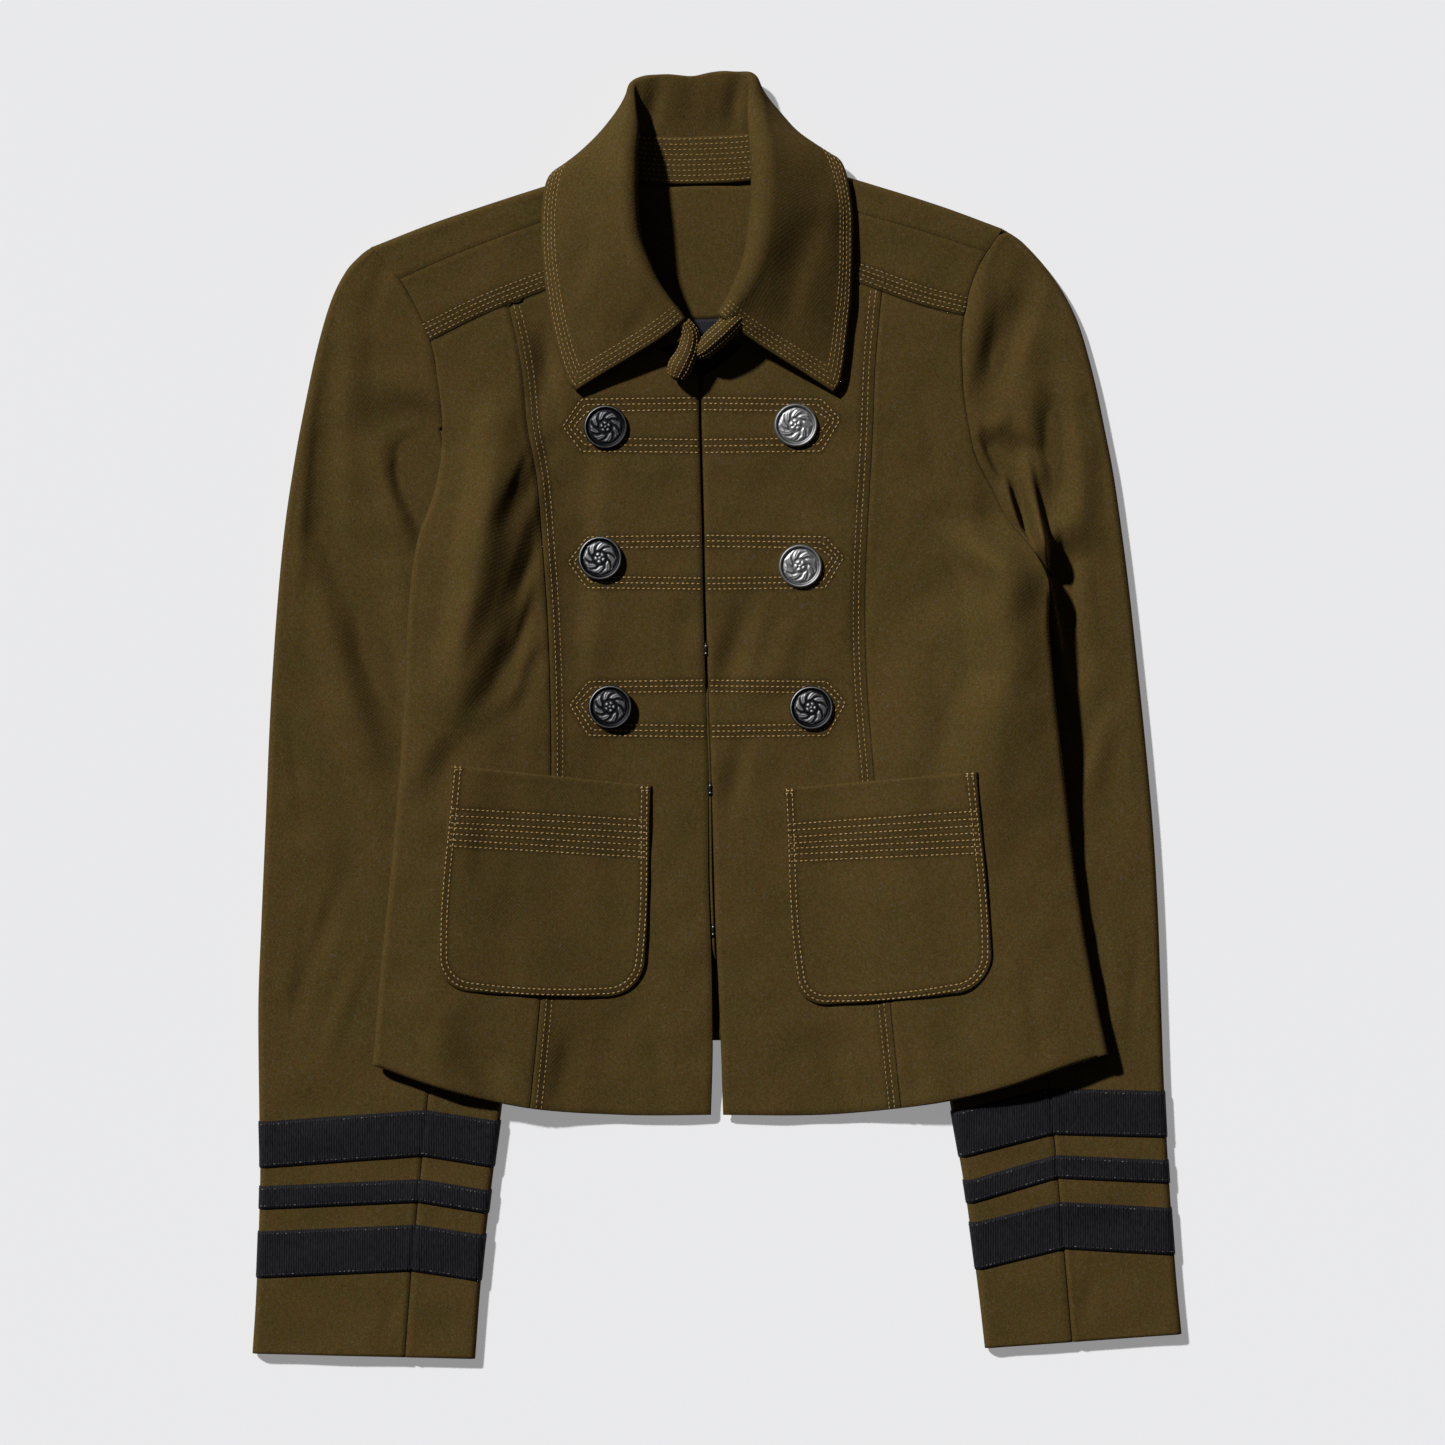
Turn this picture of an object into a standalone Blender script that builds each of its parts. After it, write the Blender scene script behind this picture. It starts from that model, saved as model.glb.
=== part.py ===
"""A napoleon jacket laid out flat, face up, with its sleeves at its sides.

Left is -X and right is +X as the jacket lies, +Y is towards the collar and +Z is up.
Sizes are in millimetres in the tables and in metres in the scene.

The layers lie on each other. The sleeves are flattened tubes on the floor, tucked
under the sides of the body. The back lies on the floor in the middle and rises over
the sleeves, and the fronts lie one stack above it. The collar stands round the neck,
rolls over and lies on the fronts.
"""

import math
from collections import namedtuple

import bmesh
import bpy
import numpy as np

OBJECT = "napoleon_jacket"
MM = 0.001

# Cloth
CLOTH = 1.6
GAP = 0.3
STACK = 7.0
FLAT_STACK = 3.5
UNDERARM_REACH = 22.0
SEAM_GAP = 0.3

# How the back and the fronts rise over the sleeves
RAMP = 60.0
FADE = 35.0
LIFT_CLEAR = 1.0
# The loft beside a side fold: its least width, where across it is highest, and how much
# of it is lost again at the fold
LOFT_WIDTH = 48.0
LOFT_PEAK = 0.55
LOFT_DROP = 0.35

# Turn of the side fronts round the side folds
TURN_FLAT = 6.0
TURN_RUN = 8.0
TURN_GROWTH = 40.0
SIDE_SEAM_GAP = 0.7
# How much higher the fronts' rows lie on the princess seam than at the underarm
PRINCESS_TURN = 6.0

# The body, a row for each height: the side fold, the princess seam, the front edge, and
# how much higher than over a flat sleeve the body lies beside its side fold
BodyRow = namedtuple("BodyRow", "y edge princess front loft")
LEFT_BODY = (
    BodyRow(-219.0, -192.0, -102.9, -3.3, 3.0),
    BodyRow(-190.0, -188.5, -99.8, -2.4, 3.0),
    BodyRow(-140.0, -184.2, -95.4, -2.8, 3.0),
    BodyRow(-90.0, -179.1, -92.4, -4.6, 3.5),
    BodyRow(-35.0, -174.1, -90.8, -4.7, 4.0),
    BodyRow(15.0, -170.8, -91.3, -6.2, 5.0),
    BodyRow(60.0, -168.8, -93.2, -7.3, 5.0),
    BodyRow(100.0, -162.8, -96.2, -8.1, 4.5),
    BodyRow(118.0, -156.2, -97.6, -8.5, 4.0),
    BodyRow(135.0, -152.4, -99.6, -8.9, 3.0),
    BodyRow(157.0, -150.6, -104.0, -9.5, 2.0),
    BodyRow(185.0, -153.6, -106.7, -9.9, 0.0),
    BodyRow(205.0, -157.4, -110.0, -10.0, 0.0),
    BodyRow(222.0, -164.5, -114.2, -10.0, 0.0),
    BodyRow(240.0, -175.0, -119.0, -10.0, 0.0),
    BodyRow(257.0, -189.8, -124.0, -10.0, 0.0),
)
RIGHT_BODY = (
    BodyRow(-219.0, 222.0, 101.2, 3.3, 6.0),
    BodyRow(-185.0, 213.8, 97.6, 2.2, 7.0),
    BodyRow(-150.0, 206.5, 94.2, 0.8, 5.0),
    BodyRow(-120.0, 201.2, 92.2, -0.7, 3.5),
    BodyRow(-80.0, 195.3, 89.5, -1.9, 4.0),
    BodyRow(-35.0, 190.0, 86.1, -3.1, 9.0),
    BodyRow(10.0, 184.6, 82.5, -4.7, 12.0),
    BodyRow(50.0, 181.1, 81.1, -5.9, 12.0),
    BodyRow(76.0, 180.1, 81.4, -6.6, 10.0),
    BodyRow(93.0, 171.1, 82.1, -6.9, 8.0),
    BodyRow(109.0, 158.4, 82.9, -7.2, 6.0),
    BodyRow(124.0, 151.2, 83.8, -7.6, 4.0),
    BodyRow(140.0, 142.6, 84.7, -8.0, 2.0),
    BodyRow(160.0, 137.8, 85.7, -8.5, 0.0),
    BodyRow(190.0, 134.5, 86.8, -8.8, 0.0),
    BodyRow(219.0, 135.6, 89.2, -8.8, 0.0),
    BodyRow(240.0, 141.0, 91.5, -8.8, 0.0),
    BodyRow(254.0, 148.1, 93.5, -8.8, 0.0),
    BodyRow(267.0, 157.0, 96.0, -8.8, 0.0),
)

HemRow = namedtuple("HemRow", "x front back")
HEM = (
    HemRow(-188.7, -191.4, -191.4),
    HemRow(-148.7, -205.2, -186.5),
    HemRow(-102.7, -215.4, -182.5),
    HemRow(-50.6, -219.5, -180.0),
    HemRow(-3.3, -219.5, -178.8),
    HemRow(3.3, -219.5, -178.8),
    HemRow(67.3, -218.9, -180.0),
    HemRow(100.7, -215.4, -181.5),
    HemRow(128.7, -211.0, -182.5),
    HemRow(158.4, -203.5, -184.0),
    HemRow(190.1, -192.5, -185.0),
    HemRow(213.8, -185.4, -185.4),
)

# Lines across the shoulders, from the armhole to the neck
ShoulderRow = namedtuple("ShoulderRow", "yoke_x yoke_y seam_x seam_y fold_x fold_y")
LEFT_SHOULDER = (
    ShoulderRow(-157.4, 205.0, -174.4, 239.3, -189.8, 257.0),
    ShoulderRow(-128.0, 219.5, -142.0, 253.5, -158.0, 269.5),
    ShoulderRow(-100.0, 230.8, -112.0, 265.0, -126.0, 280.4),
    ShoulderRow(-62.0, 244.5, -71.6, 279.2, -68.8, 298.7),
)
RIGHT_SHOULDER = (
    ShoulderRow(135.6, 219.0, 148.1, 254.0, 157.0, 267.0),
    ShoulderRow(112.6, 224.7, 114.0, 265.4, 126.0, 278.5),
    ShoulderRow(77.0, 237.3, 79.0, 275.4, 86.0, 291.2),
    ShoulderRow(44.0, 248.5, 50.0, 283.6, 45.7, 303.1),
)
Point = namedtuple("Point", "x y")
LEFT_NECKLINE = (
    Point(-71.6, 279.2),
    Point(-69.0, 262.0),
    Point(-62.0, 244.5),
    Point(-53.4, 228.3),
    Point(-38.0, 207.4),
    Point(-23.1, 194.2),
    Point(-9.9, 185.4),
)
RIGHT_NECKLINE = (
    Point(50.0, 283.6),
    Point(49.0, 266.0),
    Point(44.0, 248.5),
    Point(32.5, 228.3),
    Point(18.2, 207.4),
    Point(4.4, 194.2),
    Point(-8.8, 185.4),
)
BACK_NECKLINE = (
    Point(-68.8, 298.7),
    Point(-54.5, 295.9),
    Point(-39.6, 293.9),
    Point(-9.4, 293.7),
    Point(22.0, 294.8),
    Point(34.7, 297.0),
    Point(45.7, 303.1),
)

# Sleeves, a row for each section from the cuff to the shoulder. seam is the share of
# the width from the outer fold to the front seam, and inner is the armhole from the
# underarm row on.
SleeveRow = namedtuple("SleeveRow", "outer_x outer_y inner_x inner_y seam inner_height")
LEFT_SLEEVE = (
    SleeveRow(-255.2, -350.4, -132.8, -353.4, 0.696, 6.6),
    SleeveRow(-253.0, -314.0, -129.2, -306.0, 0.698, 7.0),
    SleeveRow(-251.0, -256.0, -123.5, -256.0, 0.700, 7.0),
    SleeveRow(-251.5, -217.0, -118.4, -217.0, 0.703, 7.0),
    SleeveRow(-252.0, -160.0, -112.5, -165.0, 0.71, 7.0),
    SleeveRow(-250.5, -118.0, -109.3, -120.0, 0.72, 7.0),
    SleeveRow(-248.0, -60.0, -106.5, -60.0, 0.74, 7.0),
    SleeveRow(-245.5, 0.0, -107.0, 0.0, 0.77, 7.0),
    SleeveRow(-242.0, 55.0, -112.0, 50.0, 0.82, 7.0),
    SleeveRow(-237.6, 102.0, -124.0, 92.0, 0.88, 6.0),
    SleeveRow(-232.0, 140.0, -138.0, 126.0, 0.94, 4.5),
    SleeveRow(-226.0, 172.0, -150.6, 157.0, 1.0, 3.5),
    SleeveRow(-219.5, 202.0, -152.6, 178.0, 1.0, STACK),
    SleeveRow(-212.0, 227.5, -156.6, 202.0, 1.0, STACK),
    SleeveRow(-204.0, 243.5, -164.5, 222.0, 1.0, STACK),
    SleeveRow(-196.4, 252.0, -175.0, 240.0, 1.0, STACK),
    SleeveRow(-192.0, 255.6, -185.0, 252.0, 1.0, STACK),
)
RIGHT_SLEEVE = (
    SleeveRow(255.2, -339.8, 147.1, -347.6, 0.56, 6.6),
    SleeveRow(251.9, -305.0, 143.0, -312.0, 0.555, 7.0),
    SleeveRow(248.3, -255.0, 136.0, -260.0, 0.545, 7.0),
    SleeveRow(245.6, -205.0, 128.2, -214.5, 0.536, 7.0),
    SleeveRow(244.0, -160.0, 121.5, -165.0, 0.55, 7.0),
    SleeveRow(242.3, -110.0, 115.0, -112.0, 0.58, 7.0),
    SleeveRow(239.5, -62.0, 112.5, -62.0, 0.64, 7.0),
    SleeveRow(235.0, -12.0, 119.0, -18.0, 0.72, 7.0),
    SleeveRow(230.0, 36.0, 134.0, 22.0, 0.82, 6.0),
    SleeveRow(226.5, 68.0, 156.0, 54.0, 0.92, 4.5),
    SleeveRow(223.0, 96.0, 180.1, 76.0, 1.0, 3.5),
    SleeveRow(218.0, 131.0, 171.1, 93.0, 1.0, STACK),
    SleeveRow(213.0, 157.0, 158.4, 109.0, 1.0, STACK),
    SleeveRow(208.5, 179.0, 147.0, 132.0, 1.0, STACK),
    SleeveRow(204.0, 197.0, 139.5, 152.0, 1.0, STACK),
    SleeveRow(198.5, 215.0, 134.9, 180.0, 1.0, STACK),
    SleeveRow(190.5, 231.5, 134.9, 208.0, 1.0, STACK),
    SleeveRow(180.0, 246.5, 139.0, 233.0, 1.0, STACK),
    SleeveRow(168.5, 259.0, 146.6, 251.5, 1.0, STACK),
    SleeveRow(161.5, 264.3, 154.0, 263.0, 1.0, STACK),
)
SLEEVE_HEIGHT = 7.0
BACK_SEAM_SHARE = 0.5

# Ribbons round the cuffs: where their centre lines cross the outer fold, the front
# seam and the inner fold
RibbonRow = namedtuple("RibbonRow", "outer_y seam_y inner_y width")
LEFT_RIBBONS = (
    RibbonRow(-235.7, -229.4, -235.1, 25.5),
    RibbonRow(-264.8, -261.0, -266.8, 12.8),
    RibbonRow(-296.0, -292.3, -297.6, 25.6),
)
RIGHT_RIBBONS = (
    RibbonRow(-219.0, -217.5, -229.9, 25.5),
    RibbonRow(-250.5, -247.8, -261.5, 12.8),
    RibbonRow(-283.2, -280.0, -291.2, 26.0),
)
RIBBON = 0.6
RIBBON_CLEAR = 0.6
# Share of the half turn round each fold that a ribbon reaches
RIBBON_END = 0.62

# Collar, a row for each section from the left front to the right front. neck is the
# share of the way along the neck seam, tilt is how far the roll leans back, from 0
# where it stands to 90 where it lies, and bulge is how far the fall swings out.
CollarRow = namedtuple(
    "CollarRow", "neck ridge_x ridge_y ridge_z edge_x edge_y edge_z tilt roll bulge"
)
COLLAR = (
    CollarRow(0.050, -19.0, 214.0, 25.0, -77.2, 177.7, 10.5, 0, 2.6, 0.7),
    CollarRow(0.095, -28.1, 224.6, 29.0, -81.6, 182.5, 10.5, 0, 3.2, 0.7),
    CollarRow(0.150, -38.3, 240.0, 32.0, -86.6, 197.0, 10.5, 0, 3.6, 0.7),
    CollarRow(0.200, -44.8, 258.0, 34.0, -91.6, 219.0, 10.8, 0, 4.0, 0.7),
    CollarRow(0.250, -47.5, 278.0, 34.5, -95.4, 246.0, 11.0, 0, 4.0, 0.7),
    CollarRow(0.300, -48.2, 298.0, 32.0, -96.2, 272.0, 10.5, 5, 4.0, 0.7),
    CollarRow(0.340, -48.6, 316.0, 26.0, -92.0, 295.0, 8.8, 18, 3.8, 0.8),
    CollarRow(0.375, -49.2, 333.0, 16.0, -78.0, 300.0, 0.8, 42, 3.2, 1.2),
    CollarRow(0.410, -47.0, 346.5, 6.5, -57.0, 303.0, 0.8, 72, 2.0, 1.0),
    CollarRow(0.450, -34.0, 350.6, 2.8, -38.0, 304.0, 0.8, 90, 1.5, 0.6),
    CollarRow(0.500, -14.0, 350.4, 2.8, -14.0, 304.0, 0.8, 90, 1.5, 0.6),
    CollarRow(0.550, 5.0, 352.6, 2.8, 10.0, 304.5, 0.8, 90, 1.5, 0.6),
    CollarRow(0.590, 19.0, 350.6, 6.5, 32.0, 305.0, 0.8, 72, 2.0, 1.0),
    CollarRow(0.625, 22.0, 336.6, 16.0, 54.0, 304.0, 0.8, 42, 3.2, 1.2),
    CollarRow(0.660, 22.9, 319.0, 26.0, 67.5, 304.0, 8.8, 18, 3.8, 0.8),
    CollarRow(0.700, 23.3, 301.0, 32.0, 74.0, 279.0, 10.5, 5, 4.0, 0.7),
    CollarRow(0.750, 22.6, 281.0, 34.5, 74.4, 252.0, 11.0, 0, 4.0, 0.7),
    CollarRow(0.800, 20.2, 256.0, 34.0, 73.4, 225.0, 10.8, 0, 4.0, 0.7),
    CollarRow(0.850, 14.9, 238.7, 32.0, 71.0, 201.0, 10.5, 0, 3.6, 0.7),
    CollarRow(0.905, 8.4, 227.0, 29.0, 68.0, 182.5, 10.5, 0, 3.2, 0.7),
    CollarRow(0.950, 2.0, 217.0, 25.0, 64.5, 176.5, 10.5, 0, 2.6, 0.7),
)
COLLAR_CLOTH = 1.6
COLLAR_SECTIONS = 31
STAND_HEIGHT = 26.0
STAND_LAP = 2.0
STAND_LOW = 8.2
STAND_LOW_BACK = 2.7
NECK_CENTRE = (-12.0, 270.0)
# Where the stand's ends stop in front, past the fall, as the upper corner of each end,
# and how much of that run the foot of the stand makes too
LEFT_STAND_END = (-15.0, 186.5, 14.0)
RIGHT_STAND_END = (-7.0, 199.0, 15.0)
STAND_FOOT_SHARE = 0.8

# The facing inside the back neck, with the top of the lining below it
FACING_TOP = (Point(-56.0, 288.0), Point(-12.0, 290.5), Point(38.0, 290.0))
FACING_FOOT = (Point(-52.0, 222.0), Point(-12.0, 217.5), Point(34.0, 222.0))
LINING_FOOT = (Point(-40.0, 190.0), Point(-12.0, 188.0), Point(22.0, 190.0))

# Patch pockets: the corners, and how far the lower ones are rounded
PocketRow = namedtuple("PocketRow", "x y round")
LEFT_POCKET = (
    PocketRow(-145.3, -27.4, 0.0),
    PocketRow(-35.8, -38.8, 0.0),
    PocketRow(-39.5, -156.2, 22.0),
    PocketRow(-154.5, -151.0, 20.0),
)
RIGHT_POCKET = (
    PocketRow(35.8, -40.4, 0.0),
    PocketRow(141.9, -30.9, 0.0),
    PocketRow(152.2, -150.8, 22.0),
    PocketRow(43.4, -161.0, 18.0),
)
POCKET_CLEAR = 0.5

# Buttons: domed discs with a raised rim
BUTTON_CENTRES = (
    Point(-61.1, 158.0),
    Point(-64.1, 86.0),
    Point(-58.6, 4.4),
    Point(43.2, 159.0),
    Point(45.7, 81.7),
    Point(51.7, 4.0),
)
BUTTON_RADIUS = 12.0
BUTTON_HEIGHT = 3.6
BUTTON_RIM = 1.6
BUTTON_DIP = 0.5
BUTTON_STEPS = 18

# Hooks and eyes along the centre front
HOOK_LEVELS = (35.8, -40.7, -118.3)
WIRE = 0.8
HOOK_WIDTH = 5.4
HOOK_REACH = 3.4
HOOK_TAIL = 9.0
UNDERLAP_CLOTH = 1.2
UNDERLAP_HALF = 13.0
UNDERLAP_ENDS = (-135.0, 178.0)
# The neck hook lies on the upper edges of the stand's two ends
PlacedPoint = namedtuple("PlacedPoint", "x y z")
NECK_HOOK = (
    PlacedPoint(-16.8, 197.4, 17.8),
    PlacedPoint(-13.5, 196.0, 17.4),
    PlacedPoint(-10.5, 196.6, 17.0),
    PlacedPoint(-6.9, 199.1, 16.4),
)

# Troughs in the cloth, as lines with a half width and a depth
FoldRow = namedtuple("FoldRow", "x0 y0 x1 y1 half depth")
BODY_FOLDS = (
    FoldRow(-110.0, 129.0, -118.0, 55.0, 13.0, 2.2),
    FoldRow(-118.0, 75.0, -138.0, 19.0, 12.0, 1.8),
    FoldRow(149.0, 150.0, 152.0, 70.0, 12.0, 1.6),
    FoldRow(118.0, 40.0, 128.0, -20.0, 15.0, 1.2),
)
SLEEVE_FOLDS = (
    FoldRow(-179.0, 140.0, -168.0, 111.0, 9.0, 2.0),
    FoldRow(-218.0, 169.0, -222.0, 60.0, 14.0, 1.6),
    FoldRow(184.0, 184.0, 190.0, 106.0, 11.0, 2.4),
    FoldRow(156.0, 228.0, 148.0, 176.0, 10.0, 1.6),
    FoldRow(-205.0, -40.0, -196.0, -120.0, 16.0, 1.4),
    FoldRow(214.0, 20.0, 216.0, -70.0, 14.0, 1.4),
)

# Mesh steps
BODY_STEPS_LOW = 12
BODY_STEPS_HIGH = 5
YOKE_STEPS = 3
FLAP_STEPS = 2
BODY_COLUMNS = 7
TURN_STEPS = 7
SLEEVE_STEPS_LOW = 13

Colour = namedtuple("Colour", "rgb roughness metallic")
OLIVE = Colour((0.075, 0.056, 0.019), 0.85, 0.0)
RIBBON_BLACK = Colour((0.010, 0.010, 0.012), 0.7, 0.0)
NAVY = Colour((0.012, 0.012, 0.022), 0.6, 0.0)
GUNMETAL = Colour((0.11, 0.10, 0.09), 0.35, 1.0)
BLACK_WIRE = Colour((0.012, 0.012, 0.012), 0.4, 1.0)


def smoothstep(share):
    """Ease from 0 to 1."""
    share = np.clip(share, 0.0, 1.0)
    return share * share * (3.0 - 2.0 * share)


def column(rows, name):
    """One named column of a table."""
    return np.array([getattr(row, name) for row in rows], float)


def through(known, values, at):
    """A smooth curve through a table's values, read at other places."""
    known = np.asarray(known, float)
    values = np.asarray(values, float)
    at = np.clip(at, known[0], known[-1])
    slopes = np.gradient(values, known)
    place = np.clip(np.searchsorted(known, at) - 1, 0, len(known) - 2)
    step = known[place + 1] - known[place]
    share = (at - known[place]) / step
    rest = 1.0 - share
    ends = values[place] * (1 + 2 * share) * rest**2 + values[place + 1] * (3 - 2 * share) * share**2
    bends = slopes[place] * share * rest**2 - slopes[place + 1] * share**2 * rest
    return ends + bends * step


def row_at(rows, place):
    """A table read between its rows, at a place counted in rows."""
    known = np.arange(len(rows))
    kind = type(rows[0])
    return kind(*(float(through(known, column(rows, name), place)) for name in kind._fields))


def spread(points, shares):
    """Places at the given shares of the length of a smooth line through points."""
    points = np.asarray(points, float)
    chords = np.linalg.norm(np.diff(points, axis=0), axis=1)
    known = np.concatenate([[0.0], np.cumsum(chords)])
    fine = np.linspace(0.0, known[-1], 40 * len(points))
    line = np.stack([through(known, axis, fine) for axis in points.T], axis=1)
    lengths = np.concatenate([[0.0], np.cumsum(np.linalg.norm(np.diff(line, axis=0), axis=1))])
    wanted = np.asarray(shares, float) * lengths[-1]
    return np.stack([np.interp(wanted, lengths, axis) for axis in line.T], axis=1)


def between(low, high, left, right):
    """Fill four border lines with a grid of points, rows from low to high."""
    rows = np.linspace(0.0, 1.0, len(left))[:, None, None]
    columns = np.linspace(0.0, 1.0, len(low))[None, :, None]
    across = (1 - rows) * low[None] + rows * high[None]
    along = (1 - columns) * left[:, None] + columns * right[:, None]
    corners = (1 - rows) * ((1 - columns) * low[0] + columns * low[-1])
    corners = corners + rows * ((1 - columns) * high[0] + columns * high[-1])
    return across + along - corners


class Side:
    """One half of the jacket: its tables, and the lines that they give."""

    def __init__(self, name, sign, body, shoulder, neckline, sleeve, underarm):
        self.name = name
        self.sign = sign
        self.body = body
        self.shoulder = shoulder
        self.neckline = neckline
        self.sleeve = sleeve
        self.underarm = underarm
        self.underarm_y = sleeve[underarm].inner_y
        self.underarm_x = sleeve[underarm].inner_x

    def line(self, name, y):
        """X of a line down the body at a height y."""
        return through(column(self.body, "y"), column(self.body, name), y)

    def sleeve_inner(self, y):
        """X of the sleeve's inner fold under the body at y, and the sleeve's height there."""
        rows = self.sleeve[: self.underarm + 1]
        levels = column(rows, "inner_y")
        inner = through(levels, column(rows, "inner_x"), y)
        height = through(levels, column(rows, "inner_height"), y)
        return inner, height


LEFT = Side("left", -1, LEFT_BODY, LEFT_SHOULDER, LEFT_NECKLINE, LEFT_SLEEVE, 11)
RIGHT = Side("right", 1, RIGHT_BODY, RIGHT_SHOULDER, RIGHT_NECKLINE, RIGHT_SLEEVE, 10)
SIDES = (LEFT, RIGHT)


def trough(folds, x, y):
    """How far the folds press the cloth down at x, y."""
    total = np.zeros(np.broadcast(x, y).shape)
    for fold in folds:
        run_x = fold.x1 - fold.x0
        run_y = fold.y1 - fold.y0
        length = math.hypot(run_x, run_y)
        along = ((x - fold.x0) * run_x + (y - fold.y0) * run_y) / length**2
        off = np.abs((x - fold.x0) * run_y - (y - fold.y0) * run_x) / length
        ends = np.sin(np.pi * np.clip(along, 0.0, 1.0))
        total = total + fold.depth * ends * (1 - smoothstep(off / fold.half))
    return total


def lift(x, y):
    """Height of the back's underside, which rises over the sleeves."""
    total = np.zeros(np.broadcast(x, y).shape)
    for side in SIDES:
        inner, height = side.sleeve_inner(y)
        rise = smoothstep((side.sign * (x - inner) + RAMP) / RAMP)
        fade = smoothstep((side.underarm_y + FADE - y) / FADE)
        total = total + ((height + LIFT_CLEAR) * rise + loft(side, x, y, inner)) * fade
    return total


def loft(side, x, y, inner):
    """How much higher the body lies beside a side fold: a low hump along it."""
    edge = side.sign * side.line("edge", y)
    base = np.minimum(side.sign * inner, edge - LOFT_WIDTH)
    across = (side.sign * x - base) / (edge - base)
    drop = LOFT_DROP * smoothstep((across - LOFT_PEAK) / (1 - LOFT_PEAK))
    return side.line("loft", y) * smoothstep(across / LOFT_PEAK) * (1 - drop)


def stack(x, y):
    """Height of the fronts' upper face over the back's underside."""
    total = np.full(np.broadcast(x, y).shape, STACK)
    for side in SIDES:
        away = np.hypot(x - side.underarm_x, y - side.underarm_y)
        total = total - (STACK - FLAT_STACK) * np.exp(-((away / UNDERARM_REACH) ** 2))
    return total


def front_top(x, y):
    """Height of the fronts' upper face."""
    return lift(x, y) + stack(x, y) - trough(BODY_FOLDS, x, y)


def with_height(grid, height):
    """Give a grid of plan points their height."""
    return np.dstack([grid, height(grid[..., 0], grid[..., 1])])


def material_of(name, colour):
    """A material for one part."""
    material = bpy.data.materials.new(name)
    material.use_nodes = True
    shader = material.node_tree.nodes["Principled BSDF"]
    shader.inputs["Base Color"].default_value = (*colour.rgb, 1.0)
    shader.inputs["Roughness"].default_value = colour.roughness
    shader.inputs["Metallic"].default_value = colour.metallic
    material.diffuse_color = (*colour.rgb, 1.0)
    return material


def add_object(name, data, colour, collection):
    """Link an object with its own material."""
    piece = bpy.data.objects.new(name, data)
    collection.objects.link(piece)
    piece.data.materials.append(material_of(name, colour))
    return piece


def add_sheet(name, grids, collection, colour=OLIVE, thickness=CLOTH, offset=-1.0, turned=False):
    """A wall of cloth: open grids of points that meet at their borders, with Solidify.

    The wall grows away from the face that a grid shows when its columns run right
    and its rows run up, or from the other face when it is turned.
    """
    mesh = bmesh.new()
    for grid in grids:
        rows, columns = grid.shape[:2]
        points = [[mesh.verts.new(grid[i, j] * MM) for j in range(columns)] for i in range(rows)]
        for i in range(rows - 1):
            for j in range(columns - 1):
                corners = [points[i][j], points[i][j + 1], points[i + 1][j + 1], points[i + 1][j]]
                if turned:
                    corners.reverse()
                mesh.faces.new(corners)
    bmesh.ops.remove_doubles(mesh, verts=mesh.verts, dist=0.01 * MM)
    data = bpy.data.meshes.new(name)
    mesh.to_mesh(data)
    mesh.free()
    data.shade_smooth()
    piece = add_object(name, data, colour, collection)
    wall = piece.modifiers.new("Wall", "SOLIDIFY")
    wall.thickness = thickness * MM
    wall.offset = offset
    wall.use_quality_normals = True
    return piece


def body_levels(side):
    """Heights of the body's rows at the edge and on the princess seam."""
    yoke = side.shoulder[0].yoke_y
    foot, top = princess_ends(side)
    edge = two_runs(hem_corner(side).y, side.underarm_y, yoke)
    princess = two_runs(foot, side.underarm_y + PRINCESS_TURN, top)
    return edge, princess


def two_runs(foot, turn, top):
    """Heights from the foot to the underarm's level, and from there to the top."""
    low = np.linspace(foot, turn, BODY_STEPS_LOW + 1)
    high = np.linspace(turn, top, BODY_STEPS_HIGH + 1)
    return np.concatenate([low, high[1:]])


def armhole_levels(side):
    """Heights that every piece along an armhole has points at, from the underarm up."""
    stops = (side.underarm_y, side.shoulder[0].yoke_y, side.shoulder[0].seam_y, side.shoulder[0].fold_y)
    levels = [stops[0]]
    for low, high, steps in zip(stops, stops[1:], (BODY_STEPS_HIGH, YOKE_STEPS, FLAP_STEPS)):
        levels.extend(np.linspace(low, high, steps + 1)[1:])
    return np.array(levels)


def hem_corner(side):
    """Where the side fold meets the hem."""
    row = HEM[0] if side.sign < 0 else HEM[-1]
    return Point(row.x, row.front)


def hem_y(name, x):
    """Height of the front or back hem at x."""
    return through(column(HEM, "x"), column(HEM, name), x)


def yoke_y(side, x):
    """Height of the yoke seam at x."""
    rows = side.shoulder if side.sign < 0 else side.shoulder[::-1]
    return through(column(rows, "yoke_x"), column(rows, "yoke_y"), x)


def princess_ends(side):
    """Heights of the princess seam's ends at the hem and the yoke."""
    foot = side.body[0].princess
    top = side.line("princess", side.shoulder[1].yoke_y)
    return float(hem_y("front", foot)), float(yoke_y(side, top))


def plan(x, y):
    """Points in plan from their coordinates."""
    x, y = np.broadcast_arrays(x, y)
    return np.stack([x, y], axis=-1).astype(float)


def ordered(side, grid):
    """Columns of a grid that runs from the edge inwards, in the order left to right."""
    return grid if side.sign < 0 else grid[:, ::-1]


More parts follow.
